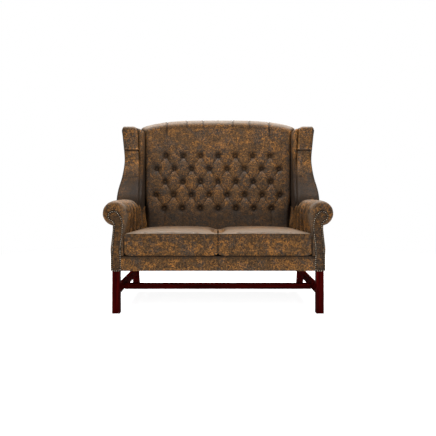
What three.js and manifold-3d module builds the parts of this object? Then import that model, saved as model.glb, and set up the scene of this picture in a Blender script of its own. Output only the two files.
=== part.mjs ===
/**
 * High back settee: two loose seat cushions, a deep-buttoned back, wings, and
 * rolled arms edged with nails, on square mahogany legs joined by stretchers.
 *
 * Millimetres. X runs to the right as seen from the front, Y to the rear, Z up.
 * The origin is on the floor, in the middle of the settee's outline. A distance
 * called a setback is measured to the rear from the plane of the front panels.
 */
import * as THREE from "three";
import { mergeVertices } from "three/addons/utils/BufferGeometryUtils.js";
import Module from "manifold-3d";

const wasm = await Module();
wasm.setup();

// Whole settee
const width = 1332;
const depth = 820;
const height = 1198;
const clearance = 0.3;
const cutOverrun = 8;

// Nails round the front panels, which are the settee's foremost points
const nailRise = 3.5;
const nailHead = 10;
const nailPitch = 11.8;
const nailStripWidth = 3;
const nailStripRise = 1;

// An inset is how far a face lies inward of the widest point of its side, or
// forward of the rearmost point of the back
const halfWidth = width / 2;
const front = -depth / 2 + nailRise;
const rearmost = depth - nailRise;

// Show wood
const baseInset = 56.5;
const legSide = 44;
const legFluteDepth = 1.6;
const legFluteWidth = 6;
const legFluteCount = 4;
const skirtHeight = 246;
const rearFootInset = 59.5;
const rearKneeInset = 126.5;
const rearLegDepth = 50;
const stretcherThickness = 24;
const stretcherHeight = 51;
const stretcherBottom = 101;
const crossStretcherDepth = 35;
const crossStretcherHeight = 34;
const crossStretcherBottom = 97;
const crossStretcherSetback = 233;

// Seat frame and suspension
const railThickness = 28;
const railTop = 316;
const dustCoverThickness = 3;
const cornerBlockSide = 80;
const cornerBlockHeight = 40;
const springWire = 3.8;
const springWidth = 46;
const springLoops = 8;
const springEdge = 142.5;
const springCount = 5;
const deckThickness = 11;

// Front panels of the arms and the covers beside them
const panelThickness = 7.7;
const nailEdge = 4;
const scrollInset = 36;
const scrollWidth = 81;
const scrollDrop = 59.5;
const scrollHeight = 80;
const neckInset = 69;
const neckDrop = 26;
const bodyInset = 59.3;
const bodyWidth = 45.5;
const outerTaperShare = 0.534;
const innerTaperShare = 0.564;
const nailCorner = 5;
const sideCoverThickness = 5;
const neckCoverThickness = 2.4;

// Arms
const armHeight = 647.5;
const armRearInset = 336.5;
const armFaceRun = 20;
const armFaceInset = 125;
const rollHeight = 141;
const rollWidth = 147;
const rollRearInset = 20;
const rollRearWidth = 177;
const armEdgeRound = 18;
const armFluteDepth = 7;
const armButtonSetback = 40;
const armButtonEnd = 50;
const armButtonCount = 6;
const webInset = 100;
const webThickness = 18;
const scrollBoardThickness = 24;
const scrollBoardInset = 3;
const armRailInset = 79;
const armRailWidth = 20;
const armRailHeight = 40;

// Back
const lowRowHeight = 580;
const topRowDrop = 261;
const rowCount = 5;
const buttonsAcross = 7;
const buttonEdge = 48.7;
const backFootInset = 365.9;
const backLeanDepth = 259.8;
const padCrown = 32;
const padFoldRise = 10;
const padPleat = 9;
const padThickness = 25;
const padArmInset = 176;
const padTopInset = 153;
const crestDrop = 56;
const crestInset = 114;
const crestRound = 36;
const crestFall = 6;
const crestCover = 42;
const outsideRake = 71.5;
const outsideThickness = 4;
const postWidth = 33;
const postDepth = 60;
const postDrop = 94;
const crestRailDrop = 148;
const lowerRailLift = 16;
const lowerRailHeight = 56;
const lowerRailDepth = 34;
const strapWidth = 50;
const strapThickness = 3;
const strapDrop = 90;

// Covered buttons and the twine that holds them
const buttonRadius = 12;
const buttonDome = 6;
const buttonSeat = 11.5;
const armButtonSeat = 5;
const twine = 4;
const twineHole = 5;

// Wings
const wingDrop = 59;
const wingFrontInset = 498.5;
const wingTopInset = 296.5;
const wingSideInset = 17.5;
const wingWaist = 26;
const wingLowInset = 159;
const wingHighInset = 122;
const wingRound = 20;
const wingNose = 42;
const wingPleatDepth = 5;
const wingPleatShares = [0.294, 0.656];
const wingPleatWidth = 14;
const wingBoardInset = 88;
const wingBoardThickness = 22;
const wingTopCover = 14;

// Seat cushions
const cushionEdgeHeight = 127;
const cushionCrown = 24;
const cushionSetback = 5;
const cushionGap = 1.6;
const cushionRearGap = 3;
const cushionBulge = 4;
const cushionCorner = 9;
const coverThickness = 9;
const zipWidth = 380;
const zipHeight = 6;

// How the curves bend, and how many steps they are made in
const crestPower = 3.6;
const foldPower = 0.7;
const curveSteps = 8;
const rollSteps = 20;
const noseSteps = 6;
const buttonSides = 6;
const cornerShare = 0.3;

// Places worked out from the sizes above
const rearFootSetback = rearmost - rearFootInset;
const rearKneeSetback = rearmost - rearKneeInset;
const deckTop = railTop + springWire + deckThickness + 3 * clearance;
const cushionBottom = deckTop + clearance;
const scrollOuter = halfWidth - scrollInset;
const scrollInner = scrollOuter - scrollWidth;
const scrollTop = armHeight - scrollDrop;
const scrollFoot = scrollTop - scrollHeight;
const neckOuter = halfWidth - neckInset;
const neckFoot = scrollFoot - neckDrop;
const bodyOuter = halfWidth - bodyInset;
const bodyInner = bodyOuter - bodyWidth;
const bodyTop = skirtHeight + outerTaperShare * (neckFoot - skirtHeight);
const bodyInnerTop = skirtHeight + innerTaperShare * (neckFoot - skirtHeight);
const nailFoot = skirtHeight + nailEdge;
const armDepth = rearmost - armRearInset;
const armFaceInner = halfWidth - armFaceInset;
const armFaceEnd = armDepth + armFaceRun;
const rollRadius = rollHeight / 2;
const rollCentre = armHeight - rollRadius;
const rollInner = halfWidth - rollWidth;
const rollOuterRear = halfWidth - rollRearInset;
const rollInnerRear = rollOuterRear - rollRearWidth;
const armButtonPitch = (armDepth - armButtonSetback - armButtonEnd) / (armButtonCount - 1);
const webInner = halfWidth - webInset;
const armRailInner = halfWidth - armRailInset;
const armTwineX = armRailInner + twine;
const armTwineFoot = scrollTop - nailEdge + clearance;
const wingTop = height - wingDrop;
const wingSetback = rearmost - wingFrontInset;
const wingTopSetback = rearmost - wingTopInset;
const wingOuter = halfWidth - wingSideInset;
const wingInnerLow = halfWidth - wingLowInset;
const wingInnerTop = halfWidth - wingHighInset;
const wingPleatHeights = wingPleatShares.map((share) => armHeight + share * (wingTop - armHeight));
const wingBoardInner = halfWidth - wingBoardInset;
const rowHeight = (height - topRowDrop - lowRowHeight) / (rowCount - 1);
const padHalfLow = rollInnerRear - clearance;
const padHalfArm = halfWidth - padArmInset;
const padHalfTop = halfWidth - padTopInset;
const buttonPitch = (2 * (padHalfLow - buttonEdge)) / buttonsAcross;
const buttonPlaneFoot = rearmost - backFootInset;
const backSlope = backLeanDepth / (height - cushionBottom);
const crestHalf = halfWidth - crestInset;
const postTop = height - postDrop;
const crestRailFoot = height - crestRailDrop;
const lowerRailFoot = cushionBottom + lowerRailLift;
const lowerRailTop = lowerRailFoot + lowerRailHeight;
const strapTop = height - strapDrop;
const strapPitch = 2 * buttonPitch;
const legOuter = halfWidth - baseInset;
const legInner = legOuter - legSide;
const legFront = panelThickness + clearance;
const legRear = legFront + legSide;
const springPitch = (2 * (legInner - springEdge)) / (springCount - 1);
const sides = { left: -1, right: 1 };

const finishes = {
  mahogany: { color: 0x35080a, roughness: 0.3, metalness: 0 },
  beech: { color: 0xb48a5c, roughness: 0.7, metalness: 0 },
  leather: { color: 0x5f4732, roughness: 0.5, metalness: 0 },
  bronze: { color: 0x54412f, roughness: 0.4, metalness: 0.9 },
  steel: { color: 0x70747a, roughness: 0.4, metalness: 0.9 },
  foam: { color: 0xd8cda4, roughness: 0.95, metalness: 0 },
  cloth: { color: 0x2a2724, roughness: 0.95, metalness: 0 },
  webbing: { color: 0x9a8560, roughness: 0.9, metalness: 0 },
};

const settee = new THREE.Group();

/** Adds one piece to the settee under its own name. */
function addPiece(name, geometry, finish) {
  const mesh = new THREE.Mesh(geometry, new THREE.MeshStandardMaterial(finishes[finish]));
  mesh.name = name;
  settee.add(mesh);
}

/** Adds a piece made for the right side, and its mirror image for the left. */
function addPair(name, geometry, finish) {
  for (const [side, sign] of Object.entries(sides)) {
    addPiece(`${name}_${side}`, facingOut(geometry.clone().scale(sign, 1, 1)), finish);
  }
}

/** Turns every face outwards, so that the body's volume counts as positive. */
function facingOut(geometry) {
  const position = geometry.getAttribute("position");
  const index = geometry.getIndex();
  const [a, b, c] = [new THREE.Vector3(), new THREE.Vector3(), new THREE.Vector3()];
  let volume = 0;
  for (let i = 0; i < index.count; i += 3) {
    a.fromBufferAttribute(position, index.getX(i));
    b.fromBufferAttribute(position, index.getX(i + 1));
    c.fromBufferAttribute(position, index.getX(i + 2));
    volume += a.dot(b.cross(c));
  }
  if (volume < 0) {
    for (let i = 0; i < index.count; i += 3) {
      const first = index.getX(i);
      index.setX(i, index.getX(i + 1));
      index.setX(i + 1, first);
    }
  }
  return geometry;
}

/** Merges the shared corners of a geometry into one closed surface. */
function weld(geometry) {
  geometry.deleteAttribute("normal");
  geometry.deleteAttribute("uv");
  return facingOut(mergeVertices(geometry));
}

function toSolid(geometry) {
  const mesh = new wasm.Mesh({
    numProp: 3,
    vertProperties: new Float32Array(geometry.getAttribute("position").array),
    triVerts: new Uint32Array(geometry.getIndex().array),
  });
  return new wasm.Manifold(mesh);
}

function toGeometry(solid) {
  const mesh = solid.getMesh();
  const geometry = new THREE.BufferGeometry();
  geometry.setAttribute("position", new THREE.BufferAttribute(mesh.vertProperties, 3));
  geometry.setIndex(new THREE.BufferAttribute(mesh.triVerts, 1));
  return geometry;
}

function join(...geometries) {
  return toGeometry(geometries.map(toSolid).reduce((whole, piece) => whole.add(piece)));
}

function cut(geometry, ...tools) {
  const whole = toSolid(geometry);
  return toGeometry(tools.map(toSolid).reduce((rest, tool) => rest.subtract(tool), whole));
}

function common(first, second) {
  return toGeometry(toSolid(first).intersect(toSolid(second)));
}

/** Sweeps an outline along X, Y or Z. Its pairs are (y, z), (x, z) or (x, y). */
function prism(axis, outline, start, end) {
  const shape = new THREE.Shape(outline.map(([p, q]) => new THREE.Vector2(p, q)));
  const geometry = new THREE.ExtrudeGeometry(shape, { depth: end - start, bevelEnabled: false });
  geometry.translate(0, 0, start);
  const x = new THREE.Vector3(1, 0, 0);
  const y = new THREE.Vector3(0, 1, 0);
  const z = new THREE.Vector3(0, 0, 1);
  const bases = { x: [y, z, x], y: [x, z, y], z: [x, y, z] };
  geometry.applyMatrix4(new THREE.Matrix4().makeBasis(...bases[axis]));
  return weld(geometry);
}

/** A rectangular block between two opposite corners. */
function block(x0, x1, y0, y1, z0, z1) {
  return prism("z", [[x0, y0], [x1, y0], [x1, y1], [x0, y1]], z0, z1);
}

/** Skins matching rings of points, and closes both ends with fans unless the rings form a loop. */
function loft(rings, isLoop = false) {
  const count = rings[0].length;
  const points = rings.flat();
  const faces = [];
  const spans = isLoop ? rings.length : rings.length - 1;
  for (let r = 0; r < spans; r += 1) {
    const next = ((r + 1) % rings.length) * count;
    for (let i = 0; i < count; i += 1) {
      const j = (i + 1) % count;
      const [a, b] = [r * count + i, r * count + j];
      faces.push(a, b, next + j, a, next + j, next + i);
    }
  }
  if (!isLoop) {
    const last = (rings.length - 1) * count;
    const centres = [rings[0], rings.at(-1)].map(middleOf);
    points.push(...centres);
    for (let i = 0; i < count; i += 1) {
      const j = (i + 1) % count;
      faces.push(j, i, points.length - 2, last + i, last + j, points.length - 1);
    }
  }
  const geometry = new THREE.BufferGeometry();
  geometry.setAttribute("position", new THREE.Float32BufferAttribute(points.flat(), 3));
  geometry.setIndex(faces);
  return facingOut(geometry);
}

function middleOf(ring) {
  return [0, 1, 2].map((axis) => ring.reduce((sum, point) => sum + point[axis], 0) / ring.length);
}

/** Moves each point of a closed outline outwards by a distance. */
function offset(outline, distance) {
  const turn = Math.sign(THREE.ShapeUtils.area(outline.map(([p, q]) => new THREE.Vector2(p, q))));
  return outline.map((point, i) => {
    const before = outline.at(i - 1);
    const after = outline[(i + 1) % outline.length];
    const [n0, n1] = [sideways(before, point), sideways(point, after)];
    const scale = (turn * distance) / (1 + n0[0] * n1[0] + n0[1] * n1[1]);
    return [point[0] + (n0[0] + n1[0]) * scale, point[1] + (n0[1] + n1[1]) * scale];
  });
}

function sideways([p0, q0], [p1, q1]) {
  const length = Math.hypot(p1 - p0, q1 - q0);
  return [(q1 - q0) / length, (p0 - p1) / length];
}

/** Reads a value from a hand-set table of pairs, straight between its rows. */
function lookUp(table, at) {
  const clamped = Math.min(Math.max(at, table[0][0]), table.at(-1)[0]);
  const row = table.findIndex(([key], i) => i > 0 && clamped <= key);
  const [[k0, v0], [k1, v1]] = [table[row - 1], table[row]];
  return v0 + ((v1 - v0) * (clamped - k0)) / (k1 - k0);
}

function mix(from, to, share) {
  return from + (to - from) * Math.min(Math.max(share, 0), 1);
}

function steps(from, to, count) {
  return Array.from({ length: count + 1 }, (_, i) => from + ((to - from) * i) / count);
}

/** Fluted section of a square leg, with flutes in its front and outer faces. */
function legSection() {
  const margin = (legSide - legFluteCount * legFluteWidth) / 2;
  const flutes = [];
  for (let i = 0; i < legFluteCount; i += 1) {
    const start = margin + i * legFluteWidth;
    flutes.push([start, 0], [start + legFluteWidth / 2, legFluteDepth]);
  }
  flutes.push([legSide - margin, 0]);
  const frontFace = flutes.map(([along, inward]) => [legInner + along, front + legFront + inward]);
  const outerFace = flutes.map(([along, inward]) => [legOuter - inward, front + legFront + along]);
  return [
    [legInner, front + legFront],
    ...frontFace,
    [legOuter, front + legFront],
    ...outerFace,
    [legOuter, front + legRear],
    [legInner, front + legRear],
  ];
}

/** Setback of the raked rear leg's front face at a height below its knee. */
function rearLegSetback(z) {
  return mix(rearFootSetback, rearKneeSetback, z / skirtHeight);
}

function addShowWood() {
  addPair("front_leg", prism("z", legSection(), 0, railTop), "mahogany");
  const rearLeg = [
    [front + rearFootSetback, 0],
    [front + rearFootSetback + rearLegDepth, 0],
    [front + rearKneeSetback + rearLegDepth, skirtHeight],
    [front + rearKneeSetback + rearLegDepth, railTop],
    [front + rearKneeSetback, railTop],
    [front + rearKneeSetback, skirtHeight],
  ];
  addPair("rear_leg", prism("x", rearLeg, legInner, legOuter), "mahogany");

  const stretcherTop = stretcherBottom + stretcherHeight;
  const stretcherInner = legInner + (legSide - stretcherThickness) / 2;
  const sideStretcher = [
    [front + legRear + clearance, stretcherBottom],
    [front + rearLegSetback(stretcherBottom) - clearance, stretcherBottom],
    [front + rearLegSetback(stretcherTop) - clearance, stretcherTop],
    [front + legRear + clearance, stretcherTop],
  ];
  const stretcherOuter = stretcherInner + stretcherThickness;
  addPair("side_stretcher", prism("x", sideStretcher, stretcherInner, stretcherOuter), "mahogany");
  const crossHalf = stretcherInner - clearance;
  const crossFront = front + crossStretcherSetback;
  const crossTop = crossStretcherBottom + crossStretcherHeight;
  const crossRear = crossFront + crossStretcherDepth;
  const crossBar = block(-crossHalf, crossHalf, crossFront, crossRear, crossStretcherBottom, crossTop);
  addPiece("cross_stretcher", crossBar, "mahogany");
}

function addSeatFrame() {
  const railFoot = skirtHeight + dustCoverThickness + 2 * clearance;
  const half = legInner - clearance;
  const frontRailFace = front + legRear - railThickness;
  const rearRailFace = front + rearKneeSetback;
  const frontRail = block(-half, half, frontRailFace, front + legRear, railFoot, railTop);
  const rearRail = block(-half, half, rearRailFace, rearRailFace + railThickness, railFoot, railTop);
  addPiece("front_seat_rail", frontRail, "beech");
  addPiece("rear_seat_rail", rearRail, "beech");
  const sideStart = front + legRear + clearance;
  const sideEnd = rearRailFace - clearance;
  const sideRail = block(legInner, legInner + railThickness, sideStart, sideEnd, railFoot, railTop);
  addPair("side_seat_rail", sideRail, "beech");

  const blockTop = railTop - clearance;
  for (const [place, corner, inward] of [["front", sideStart, 1], ["rear", sideEnd, -1]]) {
    const outline = [
      [half, corner],
      [half - cornerBlockSide, corner],
      [half, corner + inward * cornerBlockSide],
    ];
    const cornerBlock = prism("z", outline, blockTop - cornerBlockHeight, blockTop);
    addPair(`corner_block_${place}`, cornerBlock, "beech");
  }

  const coverSide = legInner + railThickness;
  const [coverFront, coverRear] = [frontRailFace, rearRailFace + railThickness];
  const quarter = [
    [half, coverFront],
    [half, sideStart],
    [coverSide, sideStart],
    [coverSide, sideEnd],
    [half, sideEnd],
    [half, coverRear],
  ];
  const mirrored = quarter.map(([x, y]) => [-x, y]).reverse();
  const dustCoverTop = skirtHeight + clearance + dustCoverThickness;
  const dustCover = prism("z", [...quarter, ...mirrored], skirtHeight + clearance, dustCoverTop);
  addPiece("dust_cover", dustCover, "cloth");
}

function addSuspension() {
  const level = railTop + clearance + springWire / 2;
  const start = front + legRear - railThickness / 2;
  const end = front + rearKneeSetback + railThickness / 2;
  const loop = (end - start - 2 * railThickness) / springLoops;
  for (let i = 0; i < springCount; i += 1) {
    const x = (i - (springCount - 1) / 2) * springPitch;
    const route = [[x, start], [x, start + railThickness]];
    for (let k = 0; k < springLoops; k += 1) {
      const swing = (k % 2 ? 1 : -1) * (springWidth / 2);
      route.push([x + swing, start + railThickness + (k + 1 / 2) * loop]);
    }
    route.push([x, end - railThickness], [x, end]);
    const points = route.map(([px, py]) => new THREE.Vector3(px, py, level));
    const path = new THREE.CatmullRomCurve3(points);
    const thin = springWire / 2;
    const corners = [[-thin, 0], [0, -thin], [thin, 0], [0, thin]].map(([p, q]) => new THREE.Vector2(p, q));
    const wire = new THREE.ExtrudeGeometry(new THREE.Shape(corners), {
      steps: springLoops * 4,
      extrudePath: path,
    });
    addPiece(`seat_spring_${i + 1}`, weld(wire), "steel");
  }
  const half = bodyInner + scrollBoardInset - clearance;
  const deckFront = front + legRear - railThickness + clearance;
  const deckRear = front + rearKneeSetback - clearance;
  const deck = block(-half, half, deckFront, deckRear, deckTop - deckThickness, deckTop);
  addPiece("seat_deck", deck, "cloth");
}

/** Outline of the arm's nails: up the outside, round the scroll, down the inside. */
const scrollShares = [
  [0.57, 0], [0.59, 0.15], [0.66, 0.26], [0.78, 0.36], [0.93, 0.46], [1, 0.71], [0.84, 0.94],
  [0.65, 1], [0.49, 1], [0.32, 0.86], [0.2, 0.72], [0.1, 0.55], [0.04, 0.36], [0, 0.15],
];
const scroll = scrollShares.map(([across, up]) => [
  mix(scrollInner, scrollOuter, across),
  mix(scrollFoot, scrollTop, up),
]);
const nailOutline = [
  ...scroll,
  [scrollInner, neckFoot],
  [bodyInner, bodyInnerTop],
  [bodyInner, nailFoot + nailCorner],
  [bodyInner + nailCorner, nailFoot],
  [bodyOuter - nailCorner, nailFoot],
  [bodyOuter, nailFoot + nailCorner],
  [bodyOuter, bodyTop],
  [neckOuter, neckFoot],
];

/** The string of nail heads, with a thin strip between one head and the next. */
function nailTrim() {
  const corners = nailOutline.map(([x, z]) => new THREE.Vector3(x, 0, z));
  const path = new THREE.CatmullRomCurve3(corners, true, "centripetal");
  const nails = Math.round(path.getLength() / nailPitch);
  const rings = path.getSpacedPoints(nails * 2).slice(0, -1).map((point, i) => {
    const along = path.getTangentAt(i / (nails * 2));
    const isHead = i % 2 === 0;
    const half = (isHead ? nailHead : nailStripWidth) / 2;
    const rise = isHead ? nailRise : nailStripRise;
    const base = front - clearance;
    return [
      [point.x - along.z * half, base, point.z + along.x * half],
      [point.x, base + clearance - rise, point.z],
      [point.x + along.z * half, base, point.z - along.x * half],
    ];
  });
  return loft(rings, true);
}

/** Setback of the leather outside back at a height. */
function outsideSetback(z) {
  return mix(rearmost - outsideRake, rearmost, (z - skirtHeight) / (height - skirtHeight));
}

/** Front face of whatever the outside back covers. */
function outsideInner(z) {
  return outsideSetback(z) - outsideThickness - clearance;
}

/** Inner and outer extremes of the arm's roll at a setback. */
function rollSpan(setback) {
  const inner = mix(rollInner, rollInnerRear, setback / armDepth);
  const outer = mix(halfWidth, rollOuterRear, setback / wingSetback);
  return [inner, outer];
}

/** How deep the flutes of the arm lie at a setback: 1 in a seam, 0 on a crown. */
function fluteShare(setback) {
  const along = (setback - armButtonSetback) / armButtonPitch;
  return along > armButtonCount - 1 / 2 ? 0 : 1 - wave(along) ** foldPower;
}

const edgeShares = [0, 1 / 6, 1 / 2, 1];
const armSetbacks = [
  ...edgeShares.map((share) => share * armEdgeRound),
  ...steps(armButtonSetback, armDepth - armButtonEnd, (armButtonCount - 1) * 4),
];

/** How far the front edge of the arm's pad is rounded off at a setback. */
function edgeInset(setback) {
  const share = 1 - Math.min(setback / armEdgeRound, 1);
  return armEdgeRound * (1 - Math.sqrt(1 - share * share));
}

/** The roll of the arm, grown by a distance where it is a tool. */
function rollForm(grow = 0) {
  const ringAt = (setback, yOf) => steps(0, Math.PI * 2, rollSteps).slice(0, -1).map((angle) => {
    const [inner, outer] = rollSpan(setback);
    const topShare = (1 - Math.cos(angle)) / 2;
    const inset = edgeInset(setback) + armFluteDepth * fluteShare(setback) * topShare - grow;
    const x = (inner + outer) / 2 + Math.cos(angle) * ((outer - inner) / 2 - inset);
    const z = rollCentre + Math.sin(angle) * (rollRadius - inset);
    return [x, yOf(z), z];
  });
  const rings = armSetbacks.map((setback) => ringAt(setback, () => front + setback - grow));
  rings.push(ringAt(armFaceEnd, () => front + armFaceEnd));
  rings.push(ringAt(armFaceEnd, (z) => front + outsideInner(z) + grow));
  return loft(rings);
}

/** The padded inner face of the arm, from the deck up into the roll. */
function armFaceForm() {
  const top = rollCentre - cutOverrun;
  const rings = [...armSetbacks, armFaceEnd].map((setback) => {
    const inset = edgeInset(setback) + armFluteDepth * fluteShare(setback);
    const x = armFace(setback) + Math.min(inset, (bodyInner - armFaceInner) / 2);
    const y = front + setback;
    return [[x, y, cushionBottom], [x, y, top], [webInner, y, top], [webInner, y, cushionBottom]];
  });
  return loft(rings);
}

/** The arm's inner face at a setback. The cushions follow it. */
function armFace(setback) {
  return mix(armFaceInner, rollInnerRear, setback / armDepth);
}

/** The space that the arm's pad goes round. */
function armCore() {
  const outline = offset(nailOutline, nailEdge + clearance);
  return prism("y", outline, front - cutOverrun, front + depth);
}

function wingBoard(grow = 0) {
  const rear = (z) => front + outsideInner(z) - postDepth - clearance + 2 * grow;
  const foot = armTwineFoot + twine + clearance - grow;
  const top = wingTop - wingTopCover - clearance + grow;
  const nose = steps(armHeight, top, noseSteps).map((z) => [wingNoseRear(z) + clearance - grow, z]);
  const outline = [[nose[0][0], foot], ...nose, [rear(top), top], [rear(foot), foot]];
  const inner = wingBoardInner - grow;
  return prism("x", outline, inner, wingBoardInner + wingBoardThickness + grow);
}

function backPost(grow = 0) {
  const face = (z) => front + outsideInner(z) - postDepth - grow;
  const foot = railTop + clearance - grow;
  const outline = [
    [face(foot), foot],
    [front + outsideInner(foot) + grow, foot],
    [front + outsideInner(postTop) + grow, postTop + grow],
    [face(postTop), postTop + grow],
  ];
  return prism("x", outline, webInner - grow, webInner + postWidth + grow);
}

function addArms() {
  const panel = prism("y", offset(nailOutline, nailEdge), front, front + panelThickness);
  addPair("arm_front_panel", panel, "leather");
  addPair("arm_nail_trim", nailTrim(), "bronze");

  const boardFront = front + legFront;
  const boardOutline = offset(nailOutline, -scrollBoardInset);
  const fullBoard = prism("y", boardOutline, boardFront, boardFront + scrollBoardThickness);
  const below = block(0, halfWidth, front, front + depth, 0, railTop + clearance);
  const board = cut(fullBoard, below);
  const railCrown = scrollTop - nailEdge;
  const railFoot = railCrown - armRailHeight;
  const postFace = (z) => front + outsideInner(z) - postDepth - clearance;
  const webOutline = [
    [boardFront, railTop + clearance],
    [postFace(railTop), railTop + clearance],
    [postFace(railFoot), railFoot + armRailHeight / 2],
    [boardFront, railFoot + armRailHeight / 2],
  ];
  const web = prism("x", webOutline, webInner, webInner + webThickness);
  const railOutline = [
    [webInner + webThickness / 2, railFoot],
    [armRailInner + armRailWidth, railFoot],
    [armRailInner + armRailWidth, railCrown],
    [armRailInner, railCrown],
  ];
  const rail = prism("y", railOutline, boardFront, postFace(railTop));
  addPair("arm_frame", join(board, web, rail), "beech");

  const pad = cut(
    join(rollForm(), armFaceForm()),
    armCore(),
    wingBoard(clearance),
    backPost(clearance),
    lowerBackRail(clearance),
    ...armButtonPlaces().map((place) => buttonHole(place)),
  );
  addPair("arm_pad", pad, "leather");
  addPair("arm_buttons", armButtons(), "leather");
  addPair("outside_arm_panel", outsideArmPanel(), "leather");
}

/** The leather outside of the arm, from the skirt up under the roll. */
function outsideArmPanel() {
  const gap = nailEdge + clearance;
  const skirtTurn = skirtHeight + nailHead;
  const inner = [
    [bodyOuter + gap, skirtHeight],
    [bodyOuter + gap, skirtTurn],
    [bodyOuter, bodyTop],
    [neckOuter, neckFoot],
    [neckOuter, rollCentre],
  ];
  const outer = [
    [bodyOuter + gap + neckCoverThickness, skirtHeight],
    [bodyOuter + gap + sideCoverThickness, skirtTurn],
    [bodyOuter + gap + sideCoverThickness, bodyTop],
    [neckOuter + gap + neckCoverThickness, neckFoot],
    [neckOuter + gap + neckCoverThickness, rollCentre],
  ];
  const outline = [...inner, ...outer.reverse()];
  const flat = prism("y", outline, front, front + depth);
  const behind = prism("x", [
    [front + outsideInner(skirtHeight), skirtHeight - cutOverrun],
    [front + outsideInner(skirtHeight), skirtHeight],
    [front + outsideInner(armHeight), armHeight],
    [front + 2 * depth, armHeight],
    [front + 2 * depth, skirtHeight - cutOverrun],
  ], 0, width);
  return cut(flat, armCore(), rollForm(clearance), behind);
}

/** A covered button on its stem of twine, dome up and foot at the origin. */
function button(stem) {
  const profile = [
    [0, -stem],
    [twine / 2, -stem],
    [twine / 2, buttonSeat],
    [buttonRadius, buttonSeat],
    [0, buttonSeat + buttonDome],
  ];
  const points = profile.map(([radius, rise]) => new THREE.Vector2(radius, rise));
  return weld(new THREE.LatheGeometry(points, buttonSides));
}

/** Places and turns a geometry whose +Y is to follow a direction. */
function stand(geometry, [x, y, z], direction) {
  const turn = new THREE.Quaternion().setFromUnitVectors(new THREE.Vector3(0, 1, 0), direction);
  return geometry.applyQuaternion(turn).translate(x, y, z);
}

/** Foot of each arm button: the pit in the pad's inner side. */
function armButtonPlaces() {
  return steps(0, armButtonCount - 1, armButtonCount - 1).map((i) => {
    const setback = armButtonSetback + i * armButtonPitch;
    return [rollSpan(setback)[0] + armFluteDepth, front + setback, armTwineFoot + twine / 2];
  });
}

function armButtons() {
  const inward = new THREE.Vector3(-1, 0, 0);
  const places = armButtonPlaces();
  const sink = buttonSeat - armButtonSeat;
  const buttons = places.map(([x, y, z]) => stand(button(armTwineX - x), [x + sink, y, z], inward));
  const first = places[0][1] - twine / 2;
  const last = places.at(-1)[1] + twine / 2;
  const line = block(armTwineX, armTwineX + twine, first, last, armTwineFoot, armTwineFoot + twine);
  return join(line, ...buttons);
}

function buttonHole([x, y, z]) {
  const half = twineHole / 2;
  return block(x - 2 * buttonRadius, armTwineX + twine + clearance, y - half, y + half, z - half, z + half);
}

/** Share of the way from the arm's top to the wing's top. */
function wingShare(z) {
  return (z - armHeight) / (wingTop - armHeight);
}

const wingFrontShares = [[0, 0], [0.22, 0.41], [0.51, 0.75], [0.82, 0.93], [1, 1]];
const wingWaistShares = [
  [0, 0], [0.14, 0.08], [0.28, 0.68], [0.44, 1], [0.55, 1], [0.7, 0.6], [0.85, 0.2], [1, -0.16],
];

function wingFront(z) {
  return front + mix(wingSetback, wingTopSetback, lookUp(wingFrontShares, wingShare(z)));
}

/** Rear of the wing's padded nose at a height. */
function wingNoseRear(z) {
  return wingFront(z) + wingNose;
}

function wingOuterAt(z) {
  return wingOuter - wingWaist * lookUp(wingWaistShares, wingShare(z));
}

/** Half width of the buttoned pad: narrow between the arms, wider between the wings. */
function padHalf(z) {
  return z < armHeight ? padHalfLow : mix(padHalfArm, padHalfTop, wingShare(z));
}

/** The whole wing, with its rounded front edge, down into the arm's roll. */
function wingForm() {
  const pleats = wingPleatHeights.flatMap((z) => [z - wingPleatWidth / 2, z, z + wingPleatWidth / 2]);
  const isPlain = (z) => pleats.every((pleat) => Math.abs(z - pleat) > wingPleatWidth);
  const plain = steps(armHeight, wingTop - wingRound, curveSteps).filter(isPlain);
  const foot = rollCentre;
  const crown = [wingTop - wingRound / 3, wingTop];
  const heights = [foot, ...plain, ...pleats, ...crown].sort((low, high) => low - high);
  return loft(heights.map((z) => {
    const pleat = wingPleatHeights.includes(z) ? wingPleatDepth : 0;
    const overTop = Math.max(z - (wingTop - wingRound), 0) / wingRound;
    const inset = pleat + (wingRound / 2) * overTop ** 3;
    const [inner, outer] = [mix(wingInnerLow, wingInnerTop, wingShare(z)) + inset, wingOuterAt(z) - inset];
    const [start, round] = [wingFront(z) + inset, wingRound];
    const groove = padHalf(Math.max(z, armHeight)) + clearance + inset;
    const rear = front + outsideInner(z);
    const padFace = front + padPlane(z) - padCrown;
    return [
      [groove, rear, z],
      [groove, Math.max(padFace, start + 2 * round), z],
      [inner, start + round, z],
      [inner + round * cornerShare, start + round * cornerShare, z],
      [inner + round, start, z],
      [outer - round, start, z],
      [outer - round * cornerShare, start + round * cornerShare, z],
      [outer, start + round, z],
      [outer, rear, z],
    ];
  }));
}

/** Everything behind the wing's nose, outward of a plane beside its board. */
function wingBehindNose(inner, gap) {
  const [foot, top] = [armHeight - rollHeight, wingTop - wingTopCover + gap];
  const nose = steps(armHeight, top, noseSteps).map((z) => [wingNoseRear(z) - gap, z]);
  const outline = [[nose[0][0], foot], ...nose, [front + 2 * depth, top], [front + 2 * depth, foot]];
  return prism("x", outline, inner - gap, width);
}

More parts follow.
